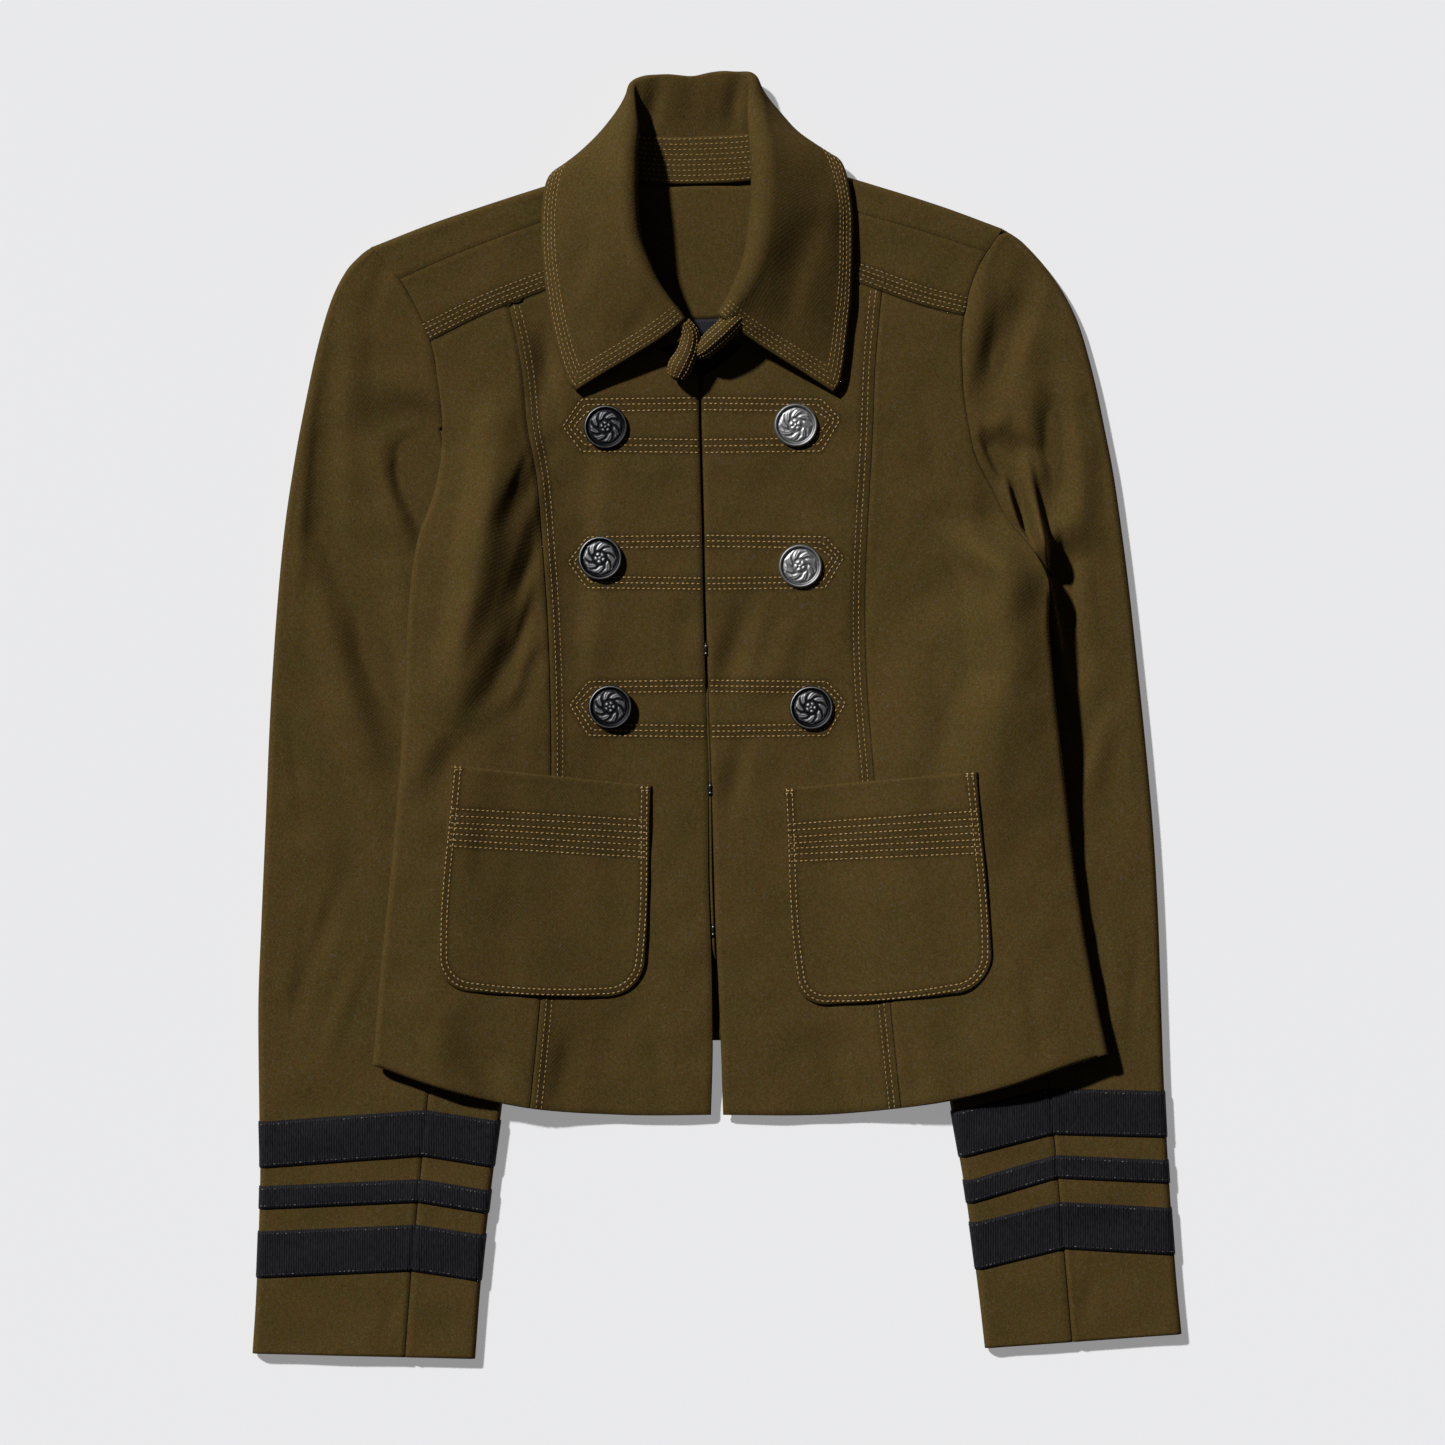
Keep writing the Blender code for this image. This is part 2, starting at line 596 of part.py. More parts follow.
def side_front(side, collection):
    """A side front, from the princess seam round the side fold to the hidden side seam."""
    edge_y, princess_y = body_levels(side)
    sign = side.sign
    seam = SEAM_GAP / 2
    edge_x = side.line("edge", edge_y) - sign * seam
    princess_x = side.line("princess", princess_y) + sign * seam
    outer = plan(edge_x - sign * TURN_FLAT, edge_y)
    inner = plan(princess_x, princess_y)
    shares = np.linspace(0.0, 1.0, BODY_COLUMNS + 1)
    low_x = outer[0, 0] + shares * (inner[0, 0] - outer[0, 0])
    high_x = outer[-1, 0] + shares * (inner[-1, 0] - outer[-1, 0])
    low = plan(low_x, hem_y("front", low_x))
    high = plan(high_x, yoke_y(side, high_x) - seam)
    outer[0], outer[-1], inner[0], inner[-1] = low[0], high[0], low[-1], high[-1]
    flat = with_height(between(low, high, outer, inner), front_top)
    turn = side_turn(side, plan(edge_x, edge_y), outer)
    # The turn's first column is the flat part's last one.
    turn[:, 0] = flat[:, 0]
    add_sheet("side_front_" + side.name, [flat, turn[:, ::-1]], collection, turned=sign > 0)


def side_turn(side, edge, outer):
    """The strip that turns under at a side fold. It stays flat above the underarm."""
    rows = []
    for end, start in zip(edge, outer):
        full = float(smoothstep((side.underarm_y - end[1]) / TURN_GROWTH))
        radius = float(stack(end[0], end[1])) / 2
        arc = math.pi * full * radius
        run_under = TURN_RUN * float(smoothstep((full - 0.7) / 0.3))
        flat = TURN_FLAT - radius
        total = flat + arc + run_under + radius * (1 - full)
        across = []
        down = []
        for step in np.linspace(0.0, total, TURN_STEPS + 1):
            turned = min(max(step - flat, 0.0), arc) / radius
            run = max(step - flat - arc, 0.0)
            across.append(min(step, flat) + radius * math.sin(turned) + run * math.cos(turned))
            down.append(min(radius * (1 - math.cos(turned)) + run * math.sin(turned), 2 * radius))
        share = np.array(across) / max(across)
        place = start + (end - start) * share[:, None]
        beneath = np.arange(len(share)) > np.argmax(share)
        place[beneath, 1] = end[1]
        height = front_top(place[:, 0], place[:, 1]) - np.array(down)
        rows.append(np.column_stack([place, height]))
    return np.array(rows)


def centre_front(side, collection):
    """A centre front, from the princess seam to the hooked front edge."""
    _, princess_y = body_levels(side)
    seam = SEAM_GAP / 2
    sign = side.sign
    princess = plan(side.line("princess", princess_y) - sign * seam, princess_y)
    neck_end = side.neckline[-1]
    front_foot = float(hem_y("front", side.body[0].front))
    front_y = np.linspace(front_foot, neck_end.y, len(princess_y))
    front = plan(side.line("front", front_y), front_y)
    shares = np.linspace(0.0, 1.0, BODY_COLUMNS + 1)
    low_x = princess[0, 0] + shares * (front[0, 0] - princess[0, 0])
    low = plan(low_x, hem_y("front", low_x))
    yoke_steps = 3
    corner = side.neckline[2]
    yoke_x = np.linspace(princess[-1, 0], corner.x, yoke_steps + 1)
    along_yoke = plan(yoke_x, yoke_y(side, yoke_x) - seam)
    neck = spread(side.neckline[2:], np.linspace(0.0, 1.0, BODY_COLUMNS - yoke_steps + 1))
    high = np.concatenate([along_yoke, neck[1:]])
    princess[0], princess[-1], front[0], front[-1] = low[0], high[0], low[-1], high[-1]
    grid = with_height(between(low, high, princess, front), front_top)
    add_sheet("front_" + side.name, [ordered(side, grid)], collection)


def front_yoke(side, collection):
    """A front yoke, from the yoke seam to the shoulder seam."""
    seam = SEAM_GAP / 2
    shares = np.linspace(0.0, 1.0, BODY_COLUMNS + 1)
    low = spread([(row.yoke_x, row.yoke_y + seam) for row in side.shoulder], shares)
    high = spread([(row.seam_x, row.seam_y - seam) for row in side.shoulder], shares)
    levels = np.linspace(low[0, 1], high[0, 1], YOKE_STEPS + 1)
    armhole = plan(side.line("edge", levels) - side.sign * seam, levels)
    neck = spread(side.neckline[:3][::-1], np.linspace(0.0, 1.0, YOKE_STEPS + 1))
    low[0], high[0], low[-1], high[-1] = armhole[0], armhole[-1], neck[0], neck[-1]
    high[-1, 1] -= seam
    neck[-1] = high[-1]
    grid = with_height(between(low, high, armhole, neck), front_top)
    add_sheet("yoke_" + side.name, [ordered(side, grid)], collection)


def back(collection):
    """The back, with the strips that fold over the shoulders to the shoulder seams."""
    shoulder_steps = 5
    neck_steps = 4
    fold_steps = 4
    seam = SEAM_GAP / 2
    shares = np.linspace(0.0, 1.0, shoulder_steps + 1)
    radius = STACK / 2
    tops = {}
    flaps = {}
    for side in SIDES:
        fold = spread([(row.fold_x, row.fold_y) for row in side.shoulder], shares)
        stitched = spread([(row.seam_x, row.seam_y + seam) for row in side.shoulder], shares)
        fold[0, 0] -= side.sign * seam
        stitched[0, 0] -= side.sign * seam
        outward = fold - stitched
        outward = outward / np.linalg.norm(outward, axis=1)[:, None]
        start = fold - outward * radius
        strips = []
        for angle in np.linspace(0.0, math.pi, fold_steps + 1):
            place = start + outward * radius * math.sin(angle)
            height = np.full(len(place), radius * (1 - math.cos(angle)))
            strips.append(np.column_stack([place, height]))
        for share in (0.5, 1.0):
            place = start + (stitched - start) * share
            strips.append(np.column_stack([place, front_top(place[:, 0], place[:, 1])]))
        tops[side.name] = start
        flaps[side.name] = np.array(strips)
    neck = spread(BACK_NECKLINE, np.linspace(0.0, 1.0, neck_steps + 1))
    left_top = tops["left"]
    right_top = tops["right"][::-1]
    high = np.concatenate([left_top, neck[1:-1], right_top])
    borders = []
    for side in SIDES:
        inset = STACK / 2 + TURN_RUN + SIDE_SEAM_GAP
        foot = hem_corner(side).y
        low_levels = np.linspace(foot, side.underarm_y, BODY_STEPS_LOW + 1)
        levels = np.concatenate([low_levels[:-1], armhole_levels(side)])
        inset = inset * (1 - smoothstep((levels - side.underarm_y + 5) / 20)) + seam
        borders.append(plan(side.line("edge", levels) - side.sign * inset, levels))
    low_x = np.linspace(borders[0][0, 0], borders[1][0, 0], len(high))
    low = plan(low_x, hem_y("back", low_x))
    for border, end in zip(borders, (0, -1)):
        border[0] = low[end]
        border[-1] = high[end]
    main = with_height(between(low, high, borders[0], borders[1]), lift)
    main[-1, :, 2] = 0.0
    grids = [main, flaps["left"], flaps["right"][:, ::-1]]
    add_sheet("back", grids, collection, turned=True)


def sleeve_row(side, place):
    """The sleeve table read between its rows, at a place counted in rows."""
    row = row_at(side.sleeve, place)
    if place >= side.underarm:
        row = row._replace(inner_x=float(side.line("edge", row.inner_y)) + side.sign * SEAM_GAP / 2)
    return row


def sleeve_point(side, place, turn):
    """A point on the sleeve's outer face.

    turn is 0 to 1 across the upper layer from the outer fold to the inner one, -1 to 0
    round the outer fold and -2 to -1 back across the lower layer from the outer fold,
    and 1 to 2 round the inner fold and 2 to 3 across the lower layer from the inner
    fold. Past the underarm row the inner fold opens into the armhole.
    """
    row = sleeve_row(side, place)
    outer = np.array([row.outer_x, row.outer_y])
    inner = np.array([row.inner_x, row.inner_y])
    width = np.linalg.norm(inner - outer)
    inward = (inner - outer) / width
    is_open = place > side.underarm
    inner_height = sleeve_inner_height(side, place, row)
    # A narrow section near the shoulder point has a smaller fold.
    outer_height = min(SLEEVE_HEIGHT, 0.9 * width)
    outer_height = max(outer_height, 2 * CLOTH + GAP)
    radius = outer_height / 2
    inner_radius = 0.0 if is_open else inner_height / 2
    flat = width - radius - inner_radius
    if 0 <= turn <= 1:
        away = radius + turn * flat
        eased = smoothstep((0.8 - turn) / 0.6)
        height = inner_height + (outer_height - inner_height) * eased
        plan_point = outer + inward * away
        press = smoothstep(min(turn, 1 - turn) / 0.1)
        height = height - press * float(trough(SLEEVE_FOLDS, plan_point[0], plan_point[1]))
    elif -1 <= turn < 0:
        angle = -turn * math.pi
        away = radius - radius * math.sin(angle)
        height = radius + radius * math.cos(angle)
    elif turn < -1:
        away = radius + (-1 - turn) * flat
        height = 0.0
    elif turn <= 2:
        angle = (turn - 1) * math.pi
        away = radius + flat + inner_radius * math.sin(angle)
        height = inner_radius + inner_radius * math.cos(angle)
    else:
        away = radius + flat - (turn - 2) * flat
        height = 0.0
    point = outer + inward * away
    return np.array([point[0], point[1], height])


def sleeve_inner_height(side, place, row):
    """Height of the sleeve's upper face at its inner fold, or at the armhole seam."""
    known = np.arange(side.underarm + 1)
    tucked = float(through(known, column(side.sleeve[: side.underarm + 1], "inner_height"), place))
    if place <= side.underarm:
        return tucked
    seam_height = float(front_top(np.array(row.inner_x), np.array(row.inner_y)))
    blend = smoothstep(place - side.underarm)
    return tucked * (1 - blend) + seam_height * blend


def back_seam_share(side, place):
    """Share of the lower layer's width from the outer fold to the seam beneath."""
    return BACK_SEAM_SHARE + (1 - BACK_SEAM_SHARE) * float(smoothstep(place - side.underarm + 1.5))


def seam_shares(side, place):
    """Where the front seam and the seam beneath cross a section, and half of their gap."""
    row = sleeve_row(side, place)
    width = math.hypot(row.outer_x - row.inner_x, row.outer_y - row.inner_y)
    return min(row.seam, 1.0), back_seam_share(side, place), SEAM_GAP / 2 / width


def sleeve_places(side):
    """Places of the sleeve's rows below the underarm, and of those on the armhole."""
    low = np.linspace(0.0, side.underarm, SLEEVE_STEPS_LOW + 1)
    rows = side.sleeve[side.underarm :]
    known = side.underarm + np.arange(len(rows))
    levels = armhole_levels(side)[1:]
    levels = levels[levels < rows[-1].inner_y]
    high = np.interp(levels, column(rows, "inner_y"), known)
    return low, np.append(high, known[-1])


def upper_sleeve(side, collection):
    """The upper sleeve, from the front seam round the outer fold to the seam beneath."""
    top_steps = 6
    fold_steps = 4
    under_steps = 3
    low, high = sleeve_places(side)
    rows = []
    for place in np.concatenate([low, high]):
        front_seam, beneath, half_gap = seam_shares(side, place)
        under = np.linspace(-1 - beneath + half_gap, -1, under_steps + 1)
        fold = np.linspace(-1, 0, fold_steps + 1)
        top = np.linspace(0, front_seam - half_gap, top_steps + 1)
        turns = np.concatenate([under[:-1], fold[:-1], top])
        rows.append([sleeve_point(side, place, turn) for turn in turns])
    add_sheet("sleeve_upper_" + side.name, [np.array(rows)], collection, turned=side.sign > 0)


def under_sleeve(side, collection):
    """The under sleeve, from the front seam round the inner fold to the seam beneath."""
    top_steps = 3
    fold_steps = 4
    under_steps = 3
    low, _ = sleeve_places(side)
    rows = []
    for place in low[:-1]:
        front_seam, beneath, half_gap = seam_shares(side, place)
        top = np.linspace(front_seam + half_gap, 1, top_steps + 1)
        fold = np.linspace(1, 2, fold_steps + 1)
        under = np.linspace(2, 3 - beneath - half_gap, under_steps + 1)
        turns = np.concatenate([top[:-1], fold[:-1], under])
        rows.append([sleeve_point(side, place, turn) for turn in turns])
    add_sheet("sleeve_under_" + side.name, [np.array(rows)], collection, turned=side.sign > 0)


def place_at(side, turn, y):
    """Place along the sleeve where a line of constant turn crosses the height y."""
    places = np.linspace(0.0, 5.0, 101)
    heights = [sleeve_point(side, place, turn)[1] for place in places]
    return float(np.interp(y, heights, places))


def cuff_ribbon(side, number, ribbon, collection):
    """A ribbon sewn round the cuff, from the sleeve's points moved out."""
    outer_fold = np.linspace(-RIBBON_END, 0.0, 4)
    inner_fold = np.linspace(1.0, 1.0 + RIBBON_END, 4)
    turns = np.concatenate([outer_fold[:-1], np.linspace(0.0, 1.0, 11), inner_fold[1:]])
    crossings = (0.0, side.sleeve[2].seam, 1.0)
    levels = (ribbon.outer_y, ribbon.seam_y, ribbon.inner_y)
    grid = []
    for share in (-0.5, 0.5):
        line = []
        for turn in turns:
            middle = np.interp(turn, crossings, levels)
            place = place_at(side, turn, middle + share * ribbon.width)
            line.append(moved_out(side, place, turn, RIBBON_CLEAR))
        grid.append(line)
    name = "cuff_ribbon_" + side.name + "_" + str(number)
    add_sheet(name, [np.array(grid)], collection, RIBBON_BLACK, RIBBON, 1.0, turned=side.sign > 0)


def moved_out(side, place, turn, distance):
    """A point on the sleeve's outer face, moved out along its normal."""
    step = 0.02
    along = sleeve_point(side, place + step, turn) - sleeve_point(side, place - step, turn)
    across = sleeve_point(side, place, turn + step) - sleeve_point(side, place, turn - step)
    normal = np.cross(across, along) * -side.sign
    normal = normal / np.linalg.norm(normal)
    return sleeve_point(side, place, turn) + normal * distance


def neck_seam():
    """The line of the collar's neck seam, from the left front round the back to the right."""
    left = list(LEFT_NECKLINE[::-1])[1:]
    right = list(RIGHT_NECKLINE)[:-1]
    return left + list(BACK_NECKLINE) + right


def collar_section(row, outward, seam):
    """Points of one collar section: up the stand, over the roll and down the fall."""
    tilt = math.radians(row.tilt)
    up = np.array([0.0, 0.0, 1.0])
    rise = math.cos(tilt) * up + math.sin(tilt) * outward
    over = math.cos(tilt) * outward - math.sin(tilt) * up
    ridge = np.array([row.ridge_x, row.ridge_y, row.ridge_z])
    centre = ridge - row.roll * rise
    edge = np.array([row.edge_x, row.edge_y, row.edge_z])
    inside = centre - row.roll * over
    climb = np.linalg.norm(inside - seam)
    split = min(STAND_HEIGHT / climb, 0.9)
    stand = [seam + (inside - seam) * split * share for share in np.linspace(0.0, 1.0, 4)]
    fall = [seam + (inside - seam) * (split + (1 - split) * share) for share in (0.03, 1.0)]
    for angle in np.linspace(0.0, math.pi, 5)[1:]:
        fall.append(centre + row.roll * (math.sin(angle) * rise - math.cos(angle) * over))
    start = fall[-1]
    reach = np.linalg.norm(edge - start)
    leave = over * reach * row.bulge
    arrive = edge - start
    for share in np.linspace(0.0, 1.0, 6)[1:]:
        rest = 1 - share
        point = start * (1 + 2 * share) * rest**2 + edge * (3 - 2 * share) * share**2
        point = point + leave * share * rest**2 - arrive * share**2 * rest
        point[2] = max(point[2], COLLAR_CLOTH / 2)
        fall.append(point)
    return np.array(stand), np.array(fall)


def collar(collection):
    """The collar stand and the fall that rolls over it."""
    rows = [row_at(COLLAR, place) for place in np.linspace(0.0, len(COLLAR) - 1, COLLAR_SECTIONS)]
    ridge = np.array([(row.ridge_x, row.ridge_y) for row in rows])
    tangent = np.gradient(ridge, axis=0)
    tangent = tangent / np.linalg.norm(tangent, axis=1)[:, None]
    outward = np.column_stack([-tangent[:, 1], tangent[:, 0], np.zeros(len(rows))])
    seams = spread(neck_seam(), [row.neck for row in rows])
    stands = []
    falls = []
    for index, row in enumerate(rows):
        inward = np.array(NECK_CENTRE) - seams[index]
        place = seams[index] + inward / np.linalg.norm(inward) * STAND_LAP
        back_share = smoothstep(row.tilt / 60.0)
        low = STAND_LOW + (STAND_LOW_BACK - STAND_LOW) * back_share
        seam = np.array([place[0], place[1], low])
        stand, fall = collar_section(row, outward[index], seam)
        stands.append(stand)
        falls.append(fall)
    stands.insert(0, stand_end(stands[0], LEFT_STAND_END))
    stands.append(stand_end(stands[-1], RIGHT_STAND_END))
    add_sheet("collar_stand", [np.array(stands)], collection, thickness=COLLAR_CLOTH, offset=0.0)
    add_sheet("collar_fall", [np.array(falls)], collection, thickness=COLLAR_CLOTH, offset=0.0)


def stand_end(neighbour, corner):
    """The end of the stand, which runs past the fall to the centre front."""
    top = np.array(corner)
    run = (top - neighbour[-1]) * STAND_FOOT_SHARE
    foot = neighbour[0] + np.array([run[0], run[1], 0.0])
    shares = np.linspace(0.0, 1.0, len(neighbour))
    return np.array([foot + (top - foot) * share for share in shares])


def pocket(side, corners, collection):
    """A patch pocket laid on the fronts, with rounded lower corners."""
    top_left, top_right, low_right, low_left = [np.array([c.x, c.y]) for c in corners]
    steps = 8
    shares = np.linspace(0.0, 1.0, steps + 1)[:, None]
    high = top_left + (top_right - top_left) * shares
    low = low_left + (low_right - low_left) * shares
    left = low_left + (top_left - low_left) * shares
    right = low_right + (top_right - low_right) * shares
    grid = between(low, high, left, right)
    grid = rounded(grid, corners[3], low_left, top_left, low_right)
    grid = rounded(grid, corners[2], low_right, top_right, low_left)
    add_sheet("pocket_" + side.name, [with_height(grid, pocket_top)], collection)


def pocket_top(x, y):
    """Height of a pocket's upper face."""
    return front_top(x, y) + POCKET_CLEAR + CLOTH


def rounded(grid, corner, at, up_end, side_end):
    """Pull a grid in round a rounded corner."""
    up = (up_end - at) / np.linalg.norm(up_end - at)
    across = (side_end - at) / np.linalg.norm(side_end - at)
    centre = at + (up + across) * corner.round
    offset = grid - centre
    along_up = offset @ up
    along_side = offset @ across
    inside = (along_up < 0) & (along_side < 0)
    far = np.maximum(np.abs(along_up), np.abs(along_side))
    length = np.hypot(along_up, along_side)
    scale = np.where(inside & (length > 0), far / np.maximum(length, 1e-9), 1.0)
    return np.where(inside[..., None], centre + offset * scale[..., None], grid)


def facing_top(x, y):
    """Height of the upper face of what lies inside on the back."""
    return lift(x, y) + 2 * CLOTH + GAP


def straight(start, end, steps):
    """Places along a straight line."""
    shares = np.linspace(0.0, 1.0, steps + 1)[:, None]
    return start + (end - start) * shares


def back_facing(collection):
    """The facing inside the back neck, and the top of the lining below it."""
    shares = np.linspace(0.0, 1.0, 5)
    steps = 3
    low = spread(FACING_FOOT, shares)
    high = spread(FACING_TOP, shares)
    grid = between(low, high, straight(low[0], high[0], steps), straight(low[-1], high[-1], steps))
    add_sheet("back_facing", [with_height(grid, facing_top)], collection)
    high = low - np.array([0.0, SEAM_GAP])
    low = spread(LINING_FOOT, shares)
    grid = between(low, high, straight(low[0], high[0], steps), straight(low[-1], high[-1], steps))
    add_sheet("back_lining", [with_height(grid, facing_top)], collection, NAVY)


def underlap_top(x, y):
    """Height of the underlap's upper face."""
    return lift(x, y) + CLOTH + GAP + UNDERLAP_CLOTH


def front_underlap(collection):
    """The strip that lies behind the meeting front edges."""
    levels = np.linspace(*UNDERLAP_ENDS, 10)
    middle = (LEFT.line("front", levels) + RIGHT.line("front", levels)) / 2
    columns = np.linspace(-UNDERLAP_HALF, UNDERLAP_HALF, 3)
    grid = with_height(plan(middle[:, None] + columns[None, :], levels[:, None]), underlap_top)
    add_sheet("front_underlap", [grid], collection, thickness=UNDERLAP_CLOTH)


def button(number, centre, collection):
    """A domed metal button with a raised rim: a turned profile."""
    profile = [
        (0.0, BUTTON_HEIGHT - BUTTON_DIP),
        (BUTTON_RADIUS * 0.5, BUTTON_HEIGHT - BUTTON_DIP - 0.15),
        (BUTTON_RADIUS - BUTTON_RIM - 0.5, BUTTON_HEIGHT - BUTTON_DIP - 0.5),
        (BUTTON_RADIUS - BUTTON_RIM, BUTTON_HEIGHT - 0.2),
        (BUTTON_RADIUS - BUTTON_RIM * 0.5, BUTTON_HEIGHT),
        (BUTTON_RADIUS - 0.2, BUTTON_HEIGHT - 0.7),
        (BUTTON_RADIUS, BUTTON_HEIGHT * 0.45),
        (BUTTON_RADIUS - 1.6, 0.3),
        (BUTTON_RADIUS - 3.0, 0.0),
        (0.0, 0.0),
    ]
    name = "button_" + str(number)
    data = bpy.data.meshes.new(name)
    points = [(radius * MM, 0.0, height * MM) for radius, height in profile]
    data.from_pydata(points, [(i, i + 1) for i in range(len(points) - 1)], [])
    piece = add_object(name, data, GUNMETAL, collection)
    turn = piece.modifiers.new("Turn", "SCREW")
    turn.steps = BUTTON_STEPS
    turn.render_steps = BUTTON_STEPS
    turn.use_merge_vertices = True
    turn.merge_threshold = 0.00001
    turn.use_smooth_shade = True
    around = np.linspace(0.0, 2 * math.pi, 12)
    x = centre.x + (BUTTON_RADIUS - 3.0) * np.cos(around)
    y = centre.y + (BUTTON_RADIUS - 3.0) * np.sin(around)
    seat = float(front_top(x, y).max()) + GAP
    piece.location = (centre.x * MM, centre.y * MM, seat * MM)


def wire(name, points, collection, colour=BLACK_WIRE):
    """A bent wire: a curve with a round section and filled caps."""
    curve = bpy.data.curves.new(name, "CURVE")
    curve.dimensions = "3D"
    curve.bevel_depth = WIRE / 2 * MM
    curve.bevel_resolution = 1
    curve.use_fill_caps = True
    spline = curve.splines.new("POLY")
    spline.points.add(len(points) - 1)
    for target, point in zip(spline.points, points):
        target.co = (*(np.array(point) * MM), 1.0)
    return add_object(name, curve, colour, collection)


def hooks(collection):
    """Hooks on the right front edge, each through an eye on the left one."""
    hook_z = STACK - CLOTH - 0.15 - WIRE / 2
    eye_z = hook_z - WIRE - 0.3
    for number, y in enumerate(HOOK_LEVELS, 1):
        middle = float(LEFT.line("front", y) + RIGHT.line("front", y)) / 2
        for kind, sign, z, half in (("hook", 1, hook_z, 0.34), ("eye", -1, eye_z, 0.5)):
            reach = middle - sign * HOOK_REACH
            tail = middle + sign * HOOK_TAIL
            points = [(tail, y - half * HOOK_WIDTH, z)]
            for angle in np.linspace(-90.0, 90.0, 7):
                turn = math.radians(angle)
                radius = half * HOOK_WIDTH
                points.append((reach + sign * radius * (1 - math.cos(turn)), y + radius * math.sin(turn), z))
            points.append((tail, y + half * HOOK_WIDTH, z))
            wire(kind + "_" + str(number), points, collection)


def neck_hook(collection):
    """The small hook that joins the ends of the collar stand."""
    wire("neck_hook", NECK_HOOK, collection)


def clear_scene():
    """Remove whatever the scene starts with."""
    for old in list(bpy.data.objects):
        bpy.data.objects.remove(old, do_unlink=True)


def main():
    clear_scene()
    collection = bpy.data.collections.new(OBJECT)
    bpy.context.scene.collection.children.link(collection)
    back(collection)
    back_facing(collection)
    front_underlap(collection)
    for side in SIDES:
        side_front(side, collection)
        centre_front(side, collection)
        front_yoke(side, collection)
        upper_sleeve(side, collection)
        under_sleeve(side, collection)
    for side, ribbons in ((LEFT, LEFT_RIBBONS), (RIGHT, RIGHT_RIBBONS)):
        for number, ribbon in enumerate(ribbons, 1):
            cuff_ribbon(side, number, ribbon, collection)
    pocket(LEFT, LEFT_POCKET, collection)
    pocket(RIGHT, RIGHT_POCKET, collection)
    collar(collection)
    for number, centre in enumerate(BUTTON_CENTRES, 1):
        button(number, centre, collection)
    hooks(collection)
    neck_hook(collection)


main()
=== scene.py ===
"""The looks of a napoleon jacket laid out flat, face up, with its sleeves at its sides.

Left is -X and right is +X as the jacket lies, +Y is towards the collar and +Z is up.
The tables are in millimetres and the scene is in metres. The surfaces follow the
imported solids, with the sewing, the creases and the finishes added.
"""

import math
from collections import namedtuple

import bpy
import numpy as np
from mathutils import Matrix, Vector


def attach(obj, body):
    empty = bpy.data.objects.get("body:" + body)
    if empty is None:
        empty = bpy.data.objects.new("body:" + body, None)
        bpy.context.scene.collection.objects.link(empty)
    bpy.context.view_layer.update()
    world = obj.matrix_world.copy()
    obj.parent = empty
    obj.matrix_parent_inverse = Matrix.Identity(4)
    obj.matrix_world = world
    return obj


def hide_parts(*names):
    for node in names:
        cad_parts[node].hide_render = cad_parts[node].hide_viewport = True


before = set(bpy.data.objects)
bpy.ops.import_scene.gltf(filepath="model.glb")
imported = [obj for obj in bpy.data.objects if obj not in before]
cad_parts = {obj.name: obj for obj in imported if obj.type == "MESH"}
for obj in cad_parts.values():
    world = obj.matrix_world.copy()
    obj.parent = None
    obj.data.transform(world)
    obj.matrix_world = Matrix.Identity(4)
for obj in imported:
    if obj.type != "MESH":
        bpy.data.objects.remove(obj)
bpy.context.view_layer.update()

bl_info = {
    "name": "Napoleon jacket",
    "version": (1, 0, 0),
    "blender": (4, 5, 0),
    "location": "View3D > Sidebar > Jacket",
    "description": "Builds a napoleon jacket laid out flat, panel by panel",
    "category": "Object",
}

MM = 0.001

# Cloth: its thickness and the gap between two layers, the height of the body's layers,
# and how flat and how wide they are pressed at the underarms
CLOTH = 1.6
GAP = 0.3
STACK = 7.0
FLAT_STACK = 3.5
UNDERARM_REACH = 22.0

# How the back and the fronts rise over the sleeves
RAMP = 60.0
FADE = 35.0
LIFT_CLEAR = 1.0
# The loft beside a side fold: its least width, where across it is highest, and how much
# of it is lost again at the fold
LOFT_WIDTH = 48.0
LOFT_PEAK = 0.55
LOFT_DROP = 0.35

# Turn of the side fronts round the side folds
TURN_FLAT = 6.0
TURN_RUN = 8.0
TURN_GROWTH = 40.0
SIDE_SEAM_GAP = 0.7
# How much higher the fronts' rows lie on the princess seam than at the underarm
PRINCESS_TURN = 6.0

def rows_of(kind, *rows):
    """A table of named rows, with every number a float."""
    return tuple(kind(*map(float, row)) for row in rows)


# The body, a row for each height: the side fold, the princess seam, the front edge, and
# how much higher than over a flat sleeve the body lies beside its side fold
BodyRow = namedtuple("BodyRow", "y edge princess front loft")
LEFT_BODY = rows_of(
    BodyRow,
    (-219, -192, -102.9, -3.3, 3),
    (-190, -188.5, -99.8, -2.4, 3),
    (-140, -184.2, -95.4, -2.8, 3),
    (-90, -179.1, -92.4, -4.6, 3.5),
    (-35, -174.1, -90.8, -4.7, 4),
    (15, -170.8, -91.3, -6.2, 5),
    (60, -168.8, -93.2, -7.3, 5),
    (100, -162.8, -96.2, -8.1, 4.5),
    (118, -156.2, -97.6, -8.5, 4),
    (135, -152.4, -99.6, -8.9, 3),
    (157, -150.6, -104, -9.5, 2),
    (185, -153.6, -106.7, -9.9, 0),
    (205, -157.4, -110, -10, 0),
    (222, -164.5, -114.2, -10, 0),
    (240, -175, -119, -10, 0),
    (257, -189.8, -124, -10, 0),
)
